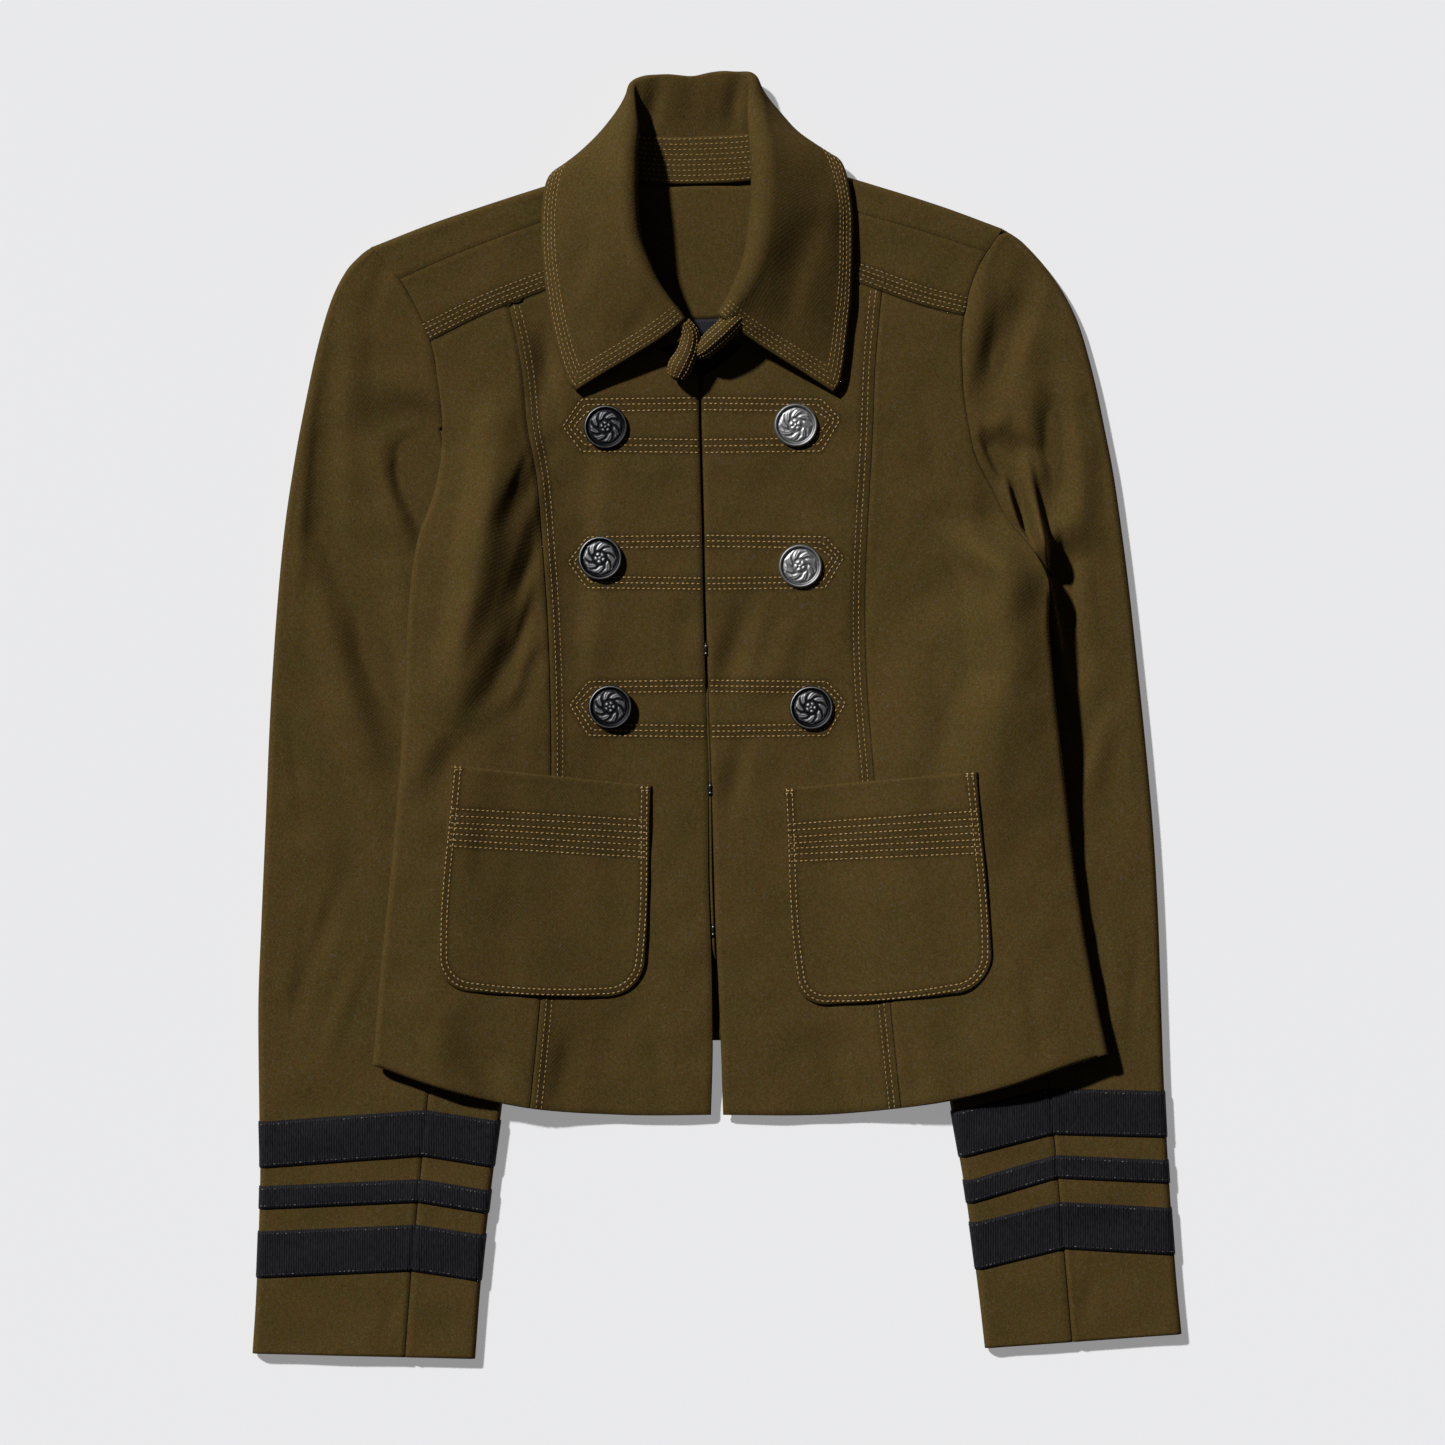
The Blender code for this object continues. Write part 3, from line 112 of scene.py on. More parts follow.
RIGHT_BODY = rows_of(
    BodyRow,
    (-219, 222, 101.2, 3.3, 6),
    (-185, 213.8, 97.6, 2.2, 7),
    (-150, 206.5, 94.2, 0.8, 5),
    (-120, 201.2, 92.2, -0.7, 3.5),
    (-80, 195.3, 89.5, -1.9, 4),
    (-35, 190, 86.1, -3.1, 10),
    (10, 184.6, 82.5, -4.7, 16),
    (50, 181.1, 81.1, -5.9, 18),
    (76, 180.1, 81.4, -6.6, 22),
    (93, 171.1, 82.1, -6.9, 21),
    (109, 158.4, 82.9, -7.2, 12),
    (124, 151.2, 83.8, -7.6, 4),
    (140, 142.6, 84.7, -8, 2),
    (160, 137.8, 85.7, -8.5, 0),
    (190, 134.5, 86.8, -8.8, 0),
    (219, 135.6, 89.2, -8.8, 0),
    (240, 141, 91.5, -8.8, 0),
    (254, 148.1, 93.5, -8.8, 0),
    (267, 157, 96, -8.8, 0),
)

HemRow = namedtuple("HemRow", "x front back")
HEM = rows_of(
    HemRow,
    (-188.7, -191.4, -191.4),
    (-148.7, -205.2, -186.5),
    (-102.7, -215.4, -182.5),
    (-50.6, -219.5, -180),
    (-3.3, -219.5, -178.8),
    (3.3, -219.5, -178.8),
    (67.3, -218.9, -180),
    (100.7, -215.4, -181.5),
    (128.7, -211, -182.5),
    (158.4, -203.5, -184),
    (190.1, -192.5, -185),
    (213.8, -185.4, -185.4),
)

# Lines across the shoulders, from the armhole to the neck
ShoulderRow = namedtuple("ShoulderRow", "yoke_x yoke_y seam_x seam_y fold_x fold_y")
LEFT_SHOULDER = rows_of(
    ShoulderRow,
    (-157.4, 205, -174.4, 239.3, -189.8, 257),
    (-128, 219.5, -142, 253.5, -158, 269.5),
    (-100, 230.8, -112, 265, -126, 280.4),
    (-62, 244.5, -71.6, 279.2, -68.8, 298.7),
)
RIGHT_SHOULDER = rows_of(
    ShoulderRow,
    (135.6, 219, 148.1, 254, 157, 267),
    (112.6, 224.7, 114, 265.4, 126, 278.5),
    (77, 237.3, 79, 275.4, 86, 291.2),
    (44, 248.5, 50, 283.6, 45.7, 303.1),
)
Point = namedtuple("Point", "x y")
LEFT_NECKLINE = rows_of(
    Point,
    (-71.6, 279.2),
    (-69, 262),
    (-62, 244.5),
    (-53.4, 228.3),
    (-38, 207.4),
    (-23.1, 194.2),
    (-9.9, 185.4),
)
RIGHT_NECKLINE = rows_of(
    Point,
    (50, 283.6),
    (49, 266),
    (44, 248.5),
    (32.5, 228.3),
    (18.2, 207.4),
    (4.4, 194.2),
    (-8.8, 185.4),
)
BACK_NECKLINE = rows_of(
    Point,
    (-68.8, 298.7),
    (-54.5, 295.9),
    (-39.6, 293.9),
    (-9.4, 293.7),
    (22, 294.8),
    (34.7, 297),
    (45.7, 303.1),
)

# Sleeves, a row for each section from the cuff to the shoulder. seam is the share of
# the width from the outer fold to the front seam, and inner is the armhole from the
# underarm row on.
SleeveRow = namedtuple("SleeveRow", "outer_x outer_y inner_x inner_y seam inner_height")
LEFT_SLEEVE = rows_of(
    SleeveRow,
    (-255.2, -350.4, -132.8, -353.4, 0.696, 6.6),
    (-253, -314, -129.2, -306, 0.698, 7),
    (-251, -256, -123.5, -256, 0.7, 7),
    (-251.5, -217, -118.4, -217, 0.703, 7),
    (-252, -160, -112.5, -165, 0.71, 7),
    (-250.5, -118, -109.3, -120, 0.72, 7),
    (-248, -60, -106.5, -60, 0.74, 7),
    (-245.5, 0, -107, 0, 0.77, 7),
    (-242, 55, -112, 50, 0.82, 7),
    (-237.6, 102, -124, 92, 0.88, 6),
    (-232, 140, -138, 126, 0.94, 4.5),
    (-226, 172, -150.6, 157, 1, 3.5),
    (-219.5, 202, -152.6, 178, 1, STACK),
    (-212, 227.5, -156.6, 202, 1, STACK),
    (-204, 243.5, -164.5, 222, 1, STACK),
    (-196.4, 252, -175, 240, 1, STACK),
    (-192, 255.6, -185, 252, 1, STACK),
)
RIGHT_SLEEVE = rows_of(
    SleeveRow,
    (255.2, -339.8, 147.1, -347.6, 0.56, 6.6),
    (251.9, -305, 143, -312, 0.555, 7),
    (248.3, -255, 136, -260, 0.545, 7),
    (245.6, -205, 128.2, -214.5, 0.536, 7),
    (244, -160, 121.5, -165, 0.55, 7),
    (242.3, -110, 115, -112, 0.58, 7),
    (239.5, -62, 112.5, -62, 0.64, 7),
    (235, -12, 119, -18, 0.72, 7),
    (230, 36, 134, 22, 0.82, 6),
    (226.5, 68, 156, 54, 0.92, 4.5),
    (223, 96, 180.1, 76, 1, 3.5),
    (218, 131, 171.1, 93, 1, STACK),
    (213, 157, 158.4, 109, 1, STACK),
    (208.5, 179, 147, 132, 1, STACK),
    (204, 197, 139.5, 152, 1, STACK),
    (198.5, 215, 134.9, 180, 1, STACK),
    (190.5, 231.5, 134.9, 208, 1, STACK),
    (180, 246.5, 139, 233, 1, STACK),
    (168.5, 259, 146.6, 251.5, 1, STACK),
    (161.5, 264.3, 154, 263, 1, STACK),
)
SLEEVE_HEIGHT = 7.0
BACK_SEAM_SHARE = 0.5

# Ribbons round the cuffs: where their centre lines cross the outer fold, the front
# seam and the inner fold
RibbonRow = namedtuple("RibbonRow", "outer_y seam_y inner_y width")
LEFT_RIBBONS = rows_of(
    RibbonRow,
    (-235.7, -229.4, -235.1, 25.5),
    (-264.8, -261, -266.8, 12.8),
    (-296, -292.3, -297.6, 25.6),
)
RIGHT_RIBBONS = rows_of(
    RibbonRow,
    (-219, -217.5, -229.9, 25.5),
    (-250.5, -247.8, -261.5, 12.8),
    (-283.2, -280, -291.2, 26),
)
RIBBON = 0.45
# Share of the half turn round each fold that a ribbon reaches
RIBBON_END = 0.62

# Collar, a row for each section from the left front to the right front. neck is the
# share of the way along the neck seam, tilt is how far the roll leans back, from 0
# where it stands to 90 where it lies, and bulge is how far the fall swings out.
CollarRow = namedtuple(
    "CollarRow", "neck ridge_x ridge_y ridge_z edge_x edge_y edge_z tilt roll bulge"
)
COLLAR = rows_of(
    CollarRow,
    (0.05, -19, 214, 25, -77.2, 177.7, 10.5, 0, 2.6, 0.7),
    (0.095, -28.1, 224.6, 27, -81.6, 182.5, 10.5, 0, 3.2, 0.7),
    (0.15, -39.3, 239.6, 28.5, -86.6, 197, 10.5, 0, 4.8, 0.7),
    (0.2, -46.6, 257.4, 29.5, -91.6, 219, 10.8, 0, 5.8, 0.7),
    (0.25, -49.5, 277.8, 29.5, -95.4, 246, 11, 0, 6, 0.7),
    (0.3, -50, 298, 28, -96.2, 272, 10.5, 5, 5.8, 0.7),
    (0.34, -49.8, 316, 23.5, -92, 295, 8.8, 18, 5, 0.8),
    (0.375, -49.2, 333, 16, -78, 300, 0.8, 42, 3.2, 1.2),
    (0.41, -47, 346.5, 10, -57, 303, 0.8, 72, 2, 1),
    (0.45, -34, 350.6, 8, -38, 304, 0.8, 90, 1.5, 0.6),
    (0.5, -14, 350.4, 8, -14, 304, 0.8, 90, 1.5, 0.6),
    (0.55, 5, 352.6, 8, 10, 304.5, 0.8, 90, 1.5, 0.6),
    (0.59, 20, 350.6, 10, 32, 305, 0.8, 72, 2.4, 1),
    (0.625, 24, 337, 13.5, 54, 304, 0.8, 42, 5, 1.2),
    (0.66, 25.9, 320, 24, 67.5, 304, 8.8, 18, 6.8, 0.8),
    (0.7, 27.8, 301, 32, 74, 279, 10.5, 5, 8.2, 0.7),
    (0.75, 27.4, 279.6, 34.5, 74.4, 252, 11, 0, 8.8, 0.7),
    (0.8, 24.6, 254.4, 34, 73.4, 225, 10.8, 0, 8.6, 0.7),
    (0.85, 18.2, 236.8, 32, 71, 201, 10.5, 0, 7.4, 0.7),
    (0.905, 10.8, 225.4, 29, 68, 182.5, 10.5, 0, 5.8, 0.7),
    (0.95, 3.2, 216.2, 25.5, 64.5, 176.5, 10.5, 0, 4, 0.7),
)
COLLAR_CLOTH = 1.6
STAND_HEIGHT = 26.0
STAND_LAP = 2.0
STAND_LOW = 8.2
STAND_LOW_BACK = 2.7
NECK_CENTRE = (-12.0, 270.0)
# Where the stand's ends stop in front, past the fall, as the upper corner of each end,
# and how much of that run the foot of the stand makes too
LEFT_STAND_END = (-15.0, 186.5, 14.0)
RIGHT_STAND_END = (-7.0, 199.0, 15.0)
STAND_FOOT_SHARE = 0.8
# How far round the collar's roll is, and how much of the run past the fall its stand shows
ROLL_END = math.radians(118.0)
END_SHOWN = 0.35
# The last section of the collar's table, and how many of them each stitched leaf takes up
LAST_SECTION = len(COLLAR) - 1
COLLAR_STITCHED = 6.3

# The ends of the stand, rolled over and sewn through: a line of middle points, each
# with a half width and a half height
RollRow = namedtuple("RollRow", "x y z wide tall")
LEFT_ROLL = rows_of(
    RollRow,
    (-18.2, 215.1, 20, 3, 5),
    (-14.9, 209, 18, 4.8, 6.5),
    (-14.9, 203, 16.6, 5.6, 7),
    (-17.1, 196.4, 15.6, 6, 7),
    (-20.4, 190.3, 14.8, 6.8, 6.6),
    (-22.6, 184.8, 14, 4.6, 4.6),
)
RIGHT_ROLL = rows_of(
    RollRow,
    (13.2, 218.4, 19.5, 4.6, 6.5),
    (8.2, 214, 18.6, 5.8, 8.6),
    (2.8, 209, 17.6, 6.2, 9),
    (-2.8, 204.1, 16.6, 6, 8.6),
    (-7.2, 200.2, 15.8, 5.4, 7.6),
    (-11, 197.5, 15, 3.2, 4.6),
)

# The facing inside the back neck, with the top of the lining below it
FACING_TOP = ((-56.0, 288.0), (-12.0, 290.5), (38.0, 290.0))
FACING_FOOT = ((-52.0, 222.0), (-12.0, 217.5), (34.0, 222.0))
LINING_FOOT = ((-40.0, 190.0), (-12.0, 188.0), (22.0, 190.0))

# Patch pockets: the corners, and how far the lower ones are rounded
PocketRow = namedtuple("PocketRow", "x y round")
LEFT_POCKET = rows_of(
    PocketRow,
    (-145.3, -27.4, 0),
    (-35.8, -38.8, 0),
    (-39.5, -156.2, 22),
    (-154.5, -151, 20),
)
RIGHT_POCKET = rows_of(
    PocketRow,
    (35.8, -40.4, 0),
    (141.9, -30.9, 0),
    (152.2, -150.8, 22),
    (43.4, -161, 18),
)
POCKET_CLEAR = 0.45
POCKET_CLOTH = 1.1

# Buttons: domed discs with a raised rim round a face that dips
BUTTON_CENTRES = rows_of(
    Point,
    (-61.1, 158),
    (-64.1, 86),
    (-58.6, 4.4),
    (43.2, 159),
    (45.7, 81.7),
    (51.7, 4),
)
BUTTON_RADIUS = 12.0
BUTTON_HEIGHT = 3.6
BUTTON_RIM = 1.6
BUTTON_DIP = 0.5
# The radius of the face, which carries the relief
BUTTON_FACE = 9.8
# How far a button sinks into the cloth, and how much brighter each is painted beyond its
# relief: a little lighter or darker at random, and much lighter on the fourth and fifth
# as a painted reflection
BUTTON_SINK = 1.0
BUTTON_RUB_AND_SHEEN = (-0.14, 0.12, -0.08, 0.66, 0.62, 0.04)

# The underlap behind the front edges, and the heights of the hooks along them
HOOK_LEVELS = (35.8, -40.7, -118.3)
UNDERLAP_CLOTH = 1.2
UNDERLAP_HALF = 13.0
UNDERLAP_ENDS = (-135.0, 178.0)
# How far the underlap swells up between the front edges, its half width there, and where
# the swelling starts and ends
UNDERLAP_SWELL = 3.0
UNDERLAP_SWELL_HALF = 1.05
UNDERLAP_SWELL_TOP = 22.0
UNDERLAP_SWELL_FOOT = -138.0
SWELL_FADE = 14.0
# A closed hook between the front edges: its half width and half length, how far it sinks
# in, where its two painted glints are along it, and their size: small lumps painted bright
# as glints of light
HOOK_HALF = (1.25, 4.6)
HOOK_SINK = 1.5
HOOK_GLINT_OFFSET = 2.0
HOOK_GLINT_SIZE = 0.62

# Troughs in the cloth, as lines with a half width and a depth. lean moves the deepest
# line across, as a share of the half width, to the viewer's right where a line runs down.
FoldRow = namedtuple("FoldRow", "x0 y0 x1 y1 half depth lean", defaults=(0.0,))
BODY_FOLDS = rows_of(
    FoldRow,
    (-110, 129, -118, 55, 13, 2.2),
    (-118, 75, -138, 19, 12, 1.8),
    (149, 150, 152, 70, 12, 1.6),
    (118, 40, 128, -20, 15, 1.2),
)
SLEEVE_FOLDS = rows_of(
    FoldRow,
    (-179, 140, -168, 111, 9, 2),
    (-218, 169, -222, 60, 14, 1.6),
    (184, 184, 190, 106, 11, 2.4),
    (156, 228, 148, 176, 10, 1.6),
    (-205, -40, -196, -120, 16, 1.4),
    (214, 20, 216, -70, 14, 1.4),
)


def smoothstep(share):
    """Ease from 0 to 1."""
    share = np.clip(share, 0.0, 1.0)
    return share * share * (3.0 - 2.0 * share)


def column(rows, name):
    """One named column of a table."""
    return np.array([getattr(row, name) for row in rows], float)


def through(known, values, at):
    """A smooth curve through a table's values, read at other places."""
    known = np.asarray(known, float)
    values = np.asarray(values, float)
    at = np.clip(at, known[0], known[-1])
    slopes = np.gradient(values, known)
    place = np.clip(np.searchsorted(known, at) - 1, 0, len(known) - 2)
    step = known[place + 1] - known[place]
    share = (at - known[place]) / step
    rest = 1.0 - share
    ends = values[place] * (1 + 2 * share) * rest**2
    ends = ends + values[place + 1] * (3 - 2 * share) * share**2
    bends = slopes[place] * share * rest**2 - slopes[place + 1] * share**2 * rest
    return ends + bends * step


def row_at(rows, place):
    """A table read between its rows, at a place counted in rows."""
    known = np.arange(len(rows))
    kind = type(rows[0])
    return kind(*(float(through(known, column(rows, name), place)) for name in kind._fields))


def unit(vectors):
    """Vectors scaled to a length of 1."""
    return vectors / np.linalg.norm(vectors, axis=-1, keepdims=True)


def lengths_along(line):
    """Length along a line up to each of its points."""
    return np.concatenate([[0.0], np.cumsum(np.linalg.norm(np.diff(line, axis=0), axis=1))])


def spread(points, shares):
    """Places at the given shares of the length of a smooth line through points."""
    points = np.asarray(points, float)
    known = lengths_along(points)
    fine = np.linspace(0.0, known[-1], 40 * len(points))
    line = np.stack([through(known, axis, fine) for axis in points.T], axis=1)
    lengths = lengths_along(line)
    wanted = np.asarray(shares, float) * lengths[-1]
    return np.stack([np.interp(wanted, lengths, axis) for axis in line.T], axis=1)


def between(low, high, left, right):
    """Fill four border lines with a grid of points, rows from low to high."""
    rows = np.linspace(0.0, 1.0, len(left))[:, None, None]
    columns = np.linspace(0.0, 1.0, len(low))[None, :, None]
    across = (1 - rows) * low[None] + rows * high[None]
    along = (1 - columns) * left[:, None] + columns * right[:, None]
    corners = (1 - rows) * ((1 - columns) * low[0] + columns * low[-1])
    corners = corners + rows * ((1 - columns) * high[0] + columns * high[-1])
    return across + along - corners


class Side:
    """One half of the jacket: its tables, and the lines that they give."""

    def __init__(self, name, sign, body, shoulder, neckline, sleeve, underarm):
        self.name = name
        self.sign = sign
        self.body = body
        self.shoulder = shoulder
        self.neckline = neckline
        self.sleeve = sleeve
        self.underarm = underarm
        self.underarm_y = sleeve[underarm].inner_y
        self.underarm_x = sleeve[underarm].inner_x

    def line(self, name, y):
        """X of a line down the body at a height y."""
        return through(column(self.body, "y"), column(self.body, name), y)

    def sleeve_inner(self, y):
        """X of the sleeve's inner fold under the body at y, and the sleeve's height there."""
        rows = self.sleeve[: self.underarm + 1]
        levels = column(rows, "inner_y")
        inner = through(levels, column(rows, "inner_x"), y)
        height = through(levels, column(rows, "inner_height"), y)
        return inner, height


# The number at the end of each is the sleeve's row at the underarm
LEFT = Side("left", -1, LEFT_BODY, LEFT_SHOULDER, LEFT_NECKLINE, LEFT_SLEEVE, 11)
RIGHT = Side("right", 1, RIGHT_BODY, RIGHT_SHOULDER, RIGHT_NECKLINE, RIGHT_SLEEVE, 10)
SIDES = (LEFT, RIGHT)


def trough(folds, x, y):
    """How far the folds press the cloth down at x, y."""
    total = np.zeros(np.broadcast(x, y).shape)
    for fold in folds:
        run_x = fold.x1 - fold.x0
        run_y = fold.y1 - fold.y0
        length = math.hypot(run_x, run_y)
        along = ((x - fold.x0) * run_x + (y - fold.y0) * run_y) / length**2
        off = ((y - fold.y0) * run_x - (x - fold.x0) * run_y) / length / fold.half - fold.lean
        off = np.abs(off) / np.where(off < 0, 1 + fold.lean, 1 - fold.lean)
        ends = np.sin(np.pi * np.clip(along, 0.0, 1.0))
        total = total + fold.depth * ends * (1 - smoothstep(off))
    return total


def lift(x, y):
    """Height of the back's underside, which rises over the sleeves."""
    total = np.zeros(np.broadcast(x, y).shape)
    for side in SIDES:
        inner, height = side.sleeve_inner(y)
        rise = smoothstep((side.sign * (x - inner) + RAMP) / RAMP)
        fade = smoothstep((side.underarm_y + FADE - y) / FADE)
        total = total + ((height + LIFT_CLEAR) * rise + loft(side, x, y, inner)) * fade
    return total


def loft(side, x, y, inner):
    """How much higher the body lies beside a side fold: a low hump along it."""
    edge = side.sign * side.line("edge", y)
    base = np.minimum(side.sign * inner, edge - LOFT_WIDTH)
    across = (side.sign * x - base) / (edge - base)
    drop = LOFT_DROP * smoothstep((across - LOFT_PEAK) / (1 - LOFT_PEAK))
    return side.line("loft", y) * smoothstep(across / LOFT_PEAK) * (1 - drop)


def stack(x, y):
    """Height of the fronts' upper face over the back's underside."""
    total = np.full(np.broadcast(x, y).shape, STACK)
    for side in SIDES:
        away = np.hypot(x - side.underarm_x, y - side.underarm_y)
        total = total - (STACK - FLAT_STACK) * np.exp(-((away / UNDERARM_REACH) ** 2))
    return total


def front_top(x, y):
    """Height of the fronts' upper face."""
    return lift(x, y) + stack(x, y) - trough(BODY_FOLDS, x, y)


def with_height(grid, height):
    """Give a grid of plan points their height."""
    return np.dstack([grid, height(grid[..., 0], grid[..., 1])])


def hem_corner(side):
    """Where the side fold meets the hem."""
    row = HEM[0] if side.sign < 0 else HEM[-1]
    return Point(row.x, row.front)


def hem_y(name, x):
    """Height of the front or back hem at x."""
    return through(column(HEM, "x"), column(HEM, name), x)


def yoke_y(side, x):
    """Height of the yoke seam at x."""
    rows = side.shoulder if side.sign < 0 else side.shoulder[::-1]
    return through(column(rows, "yoke_x"), column(rows, "yoke_y"), x)


def princess_ends(side):
    """Heights of the princess seam's ends at the hem and the yoke."""
    foot = side.body[0].princess
    top = side.line("princess", side.shoulder[1].yoke_y)
    return float(hem_y("front", foot)), float(yoke_y(side, top))


def plan(x, y):
    """Points in plan from their coordinates."""
    x, y = np.broadcast_arrays(x, y)
    return np.stack([x, y], axis=-1).astype(float)


def ordered(side, grid):
    """Columns of a grid that runs from the edge inwards, in the order left to right."""
    return grid if side.sign < 0 else grid[:, ::-1]


def front_foot(side):
    """Height of the hem at the front edge."""
    return float(hem_y("front", side.body[0].front))


def side_turn(side, edge, outer):
    """The strip that turns under at a side fold. It stays flat above the underarm."""
    rows = []
    for end, start in zip(edge, outer):
        full = float(smoothstep((side.underarm_y - end[1]) / TURN_GROWTH))
        radius = float(stack(end[0], end[1])) / 2
        arc = math.pi * full * radius
        run_under = TURN_RUN * float(smoothstep((full - 0.7) / 0.3))
        flat = TURN_FLAT - radius
        total = flat + arc + run_under + radius * (1 - full)
        across = []
        down = []
        for step in np.linspace(0.0, total, TURN_STEPS + 1):
            turned = min(max(step - flat, 0.0), arc) / radius
            run = max(step - flat - arc, 0.0)
            across.append(min(step, flat) + radius * math.sin(turned) + run * math.cos(turned))
            down.append(min(radius * (1 - math.cos(turned)) + run * math.sin(turned), 2 * radius))
        share = np.array(across) / max(across)
        place = start + (end - start) * share[:, None]
        beneath = np.arange(len(share)) > np.argmax(share)
        place[beneath, 1] = end[1]
        height = front_top(place[:, 0], place[:, 1]) - np.array(down)
        rows.append(np.column_stack([place, height]))
    return np.array(rows)


def sleeve_row(side, place):
    """The sleeve table read between its rows, at a place counted in rows."""
    row = row_at(side.sleeve, place)
    if place >= side.underarm:
        row = row._replace(inner_x=float(side.line("edge", row.inner_y)))
    return row


def back_seam_share(side, place):
    """Share of the lower layer's width from the outer fold to the seam beneath."""
    return BACK_SEAM_SHARE + (1 - BACK_SEAM_SHARE) * float(smoothstep(place - side.underarm + 1.5))


def neck_seam():
    """The line of the collar's neck seam, from the left front round the back to the right."""
    return LEFT_NECKLINE[-2::-1] + BACK_NECKLINE + RIGHT_NECKLINE[:-1]


def rounded(grid, corner, at, up_end, side_end):
    """Pull a grid in round a rounded corner."""
    up = unit(up_end - at)
    across = unit(side_end - at)
    centre = at + (up + across) * corner.round
    offset = grid - centre
    along_up = offset @ up
    along_side = offset @ across
    inside = (along_up < 0) & (along_side < 0)
    far = np.maximum(np.abs(along_up), np.abs(along_side))
    length = np.hypot(along_up, along_side)
    scale = np.where(inside & (length > 0), far / np.maximum(length, 1e-9), 1.0)
    return np.where(inside[..., None], centre + offset * scale[..., None], grid)


def facing_top(x, y):
    """Height of the upper face of what lies inside on the back."""
    return lift(x, y) + 2 * CLOTH + GAP


def straight(start, end, steps):
    """Places along a straight line."""
    shares = np.linspace(0.0, 1.0, steps + 1)[:, None]
    return start + (end - start) * shares


def front_middle(y):
    """X of the line midway between the two front edges."""
    return (LEFT.line("front", y) + RIGHT.line("front", y)) / 2


def underlap_face(x, y):
    """The underlap's upper face, which swells up between the front edges lower down."""
    swell = ridge(x, front_middle(y), UNDERLAP_SWELL_HALF, 4)
    swell = swell * smoothstep((UNDERLAP_SWELL_TOP - y) / SWELL_FADE)
    swell = swell * smoothstep((y - UNDERLAP_SWELL_FOOT) / SWELL_FADE)
    return lift(x, y) + CLOTH + GAP + UNDERLAP_CLOTH + UNDERLAP_SWELL * swell


def stand_end(neighbour, corner):
    """The end of the stand, which runs past the fall to the centre front."""
    top = np.array(corner)
    run = (top - neighbour[-1]) * STAND_FOOT_SHARE
    return straight(neighbour[0] + [run[0], run[1], 0.0], top, len(neighbour) - 1)


# Creases that the solids leave out: lines with a half width and a depth. A depth below
# 0 is a ridge.
BODY_CREASES = rows_of(
    FoldRow,
    (-108.4, 175.5, -138.1, -8.2, 25, -11, -0.2),
    (-157.9, 41.2, -164.5, -79.8, 16, -1.8),
    (-83.1, 173.2, -93, -8.2, 26, 4.2, 0.45),
    (-90.8, 152.4, -120.5, 96.3, 10, 1.9),
    (-100.7, 151.2, -113.9, 115.5, 4, 0.7),
    (-90.8, 118.3, -117.2, 41.2, 10, 2.2, -0.2),
    (-97.4, 96.3, -111.7, 56.7, 4, 1.1, -0.2),
    (-94.6, 68.8, -133.7, 0, 13, 2.1),
    (-109.5, 41.2, -126, 8.2, 5, 0.5),
    (-95.7, 74.2, -112.8, 23.7, 5, 1.4, -0.3),
    (-94.1, 41.2, -107.8, -2.8, 8, 1.8, -0.2),
    (-112.8, 19.2, -163.4, -57.8, 17, 2.2, -0.2),
    (-93, 218.4, -108.4, 140.2, 13, 2.4, 0.2),
    (-98.5, 216.2, -88.6, 159.5, 8, 2.8, 0.2),
    (-119.4, 178.8, -135.9, 134.8, 9, -0.9),
    (-108.4, -13.8, -94.6, -167.8, 38, 3.8, 0.25),
    (-124.9, -46.8, -127.1, -101.8, 12, 1.3, -0.2),
    (-144.1, -162.2, -107.3, -218.4, 17, 3.2, -0.2),
    (-157.9, -173.2, -144.1, -211.8, 11, -1.3),
    (-76.5, -170.5, -86.4, -218.4, 12, 1.9, -0.2),
    (-36.9, -167.8, -27, -217.3, 10, 0.9),
    (19.2, 68.8, 1.1, 6.1, 12, 2.9),
    (45.7, 57.8, 28.1, 8.2, 11, -1),
    (13.8, -8.2, 3.9, -63.3, 10, 1.9, 0.1),
    (9.9, -24.8, 15.4, -68.8, 10, 0.8, 0.2),
    (-16, 63.3, -22.6, 8.2, 9, 0.7),
    (-86.4, 30.3, -145.8, -13.8, 9, -0.8),
    (15.4, 129.2, 78.7, 107.3, 14, 1.2),
    (-53.4, 129.2, -14.9, 96.3, 11, 0.6),
    (83.1, 85.2, 73.2, 30.3, 10, 1.4, 0.2),
    (111.7, 182.1, 122.1, 119.9, 9, 0.7),
    (147.4, 85.2, 161.2, -118.3, 24, 1.8, 0.2),
    (53.9, -170, 74.2, -216.2, 12, 1.3),
    (102.9, -176, 112.8, -210.1, 8, 1.1),
    (167.8, -128.2, 178.2, -195.8, 8, 0.8),
)
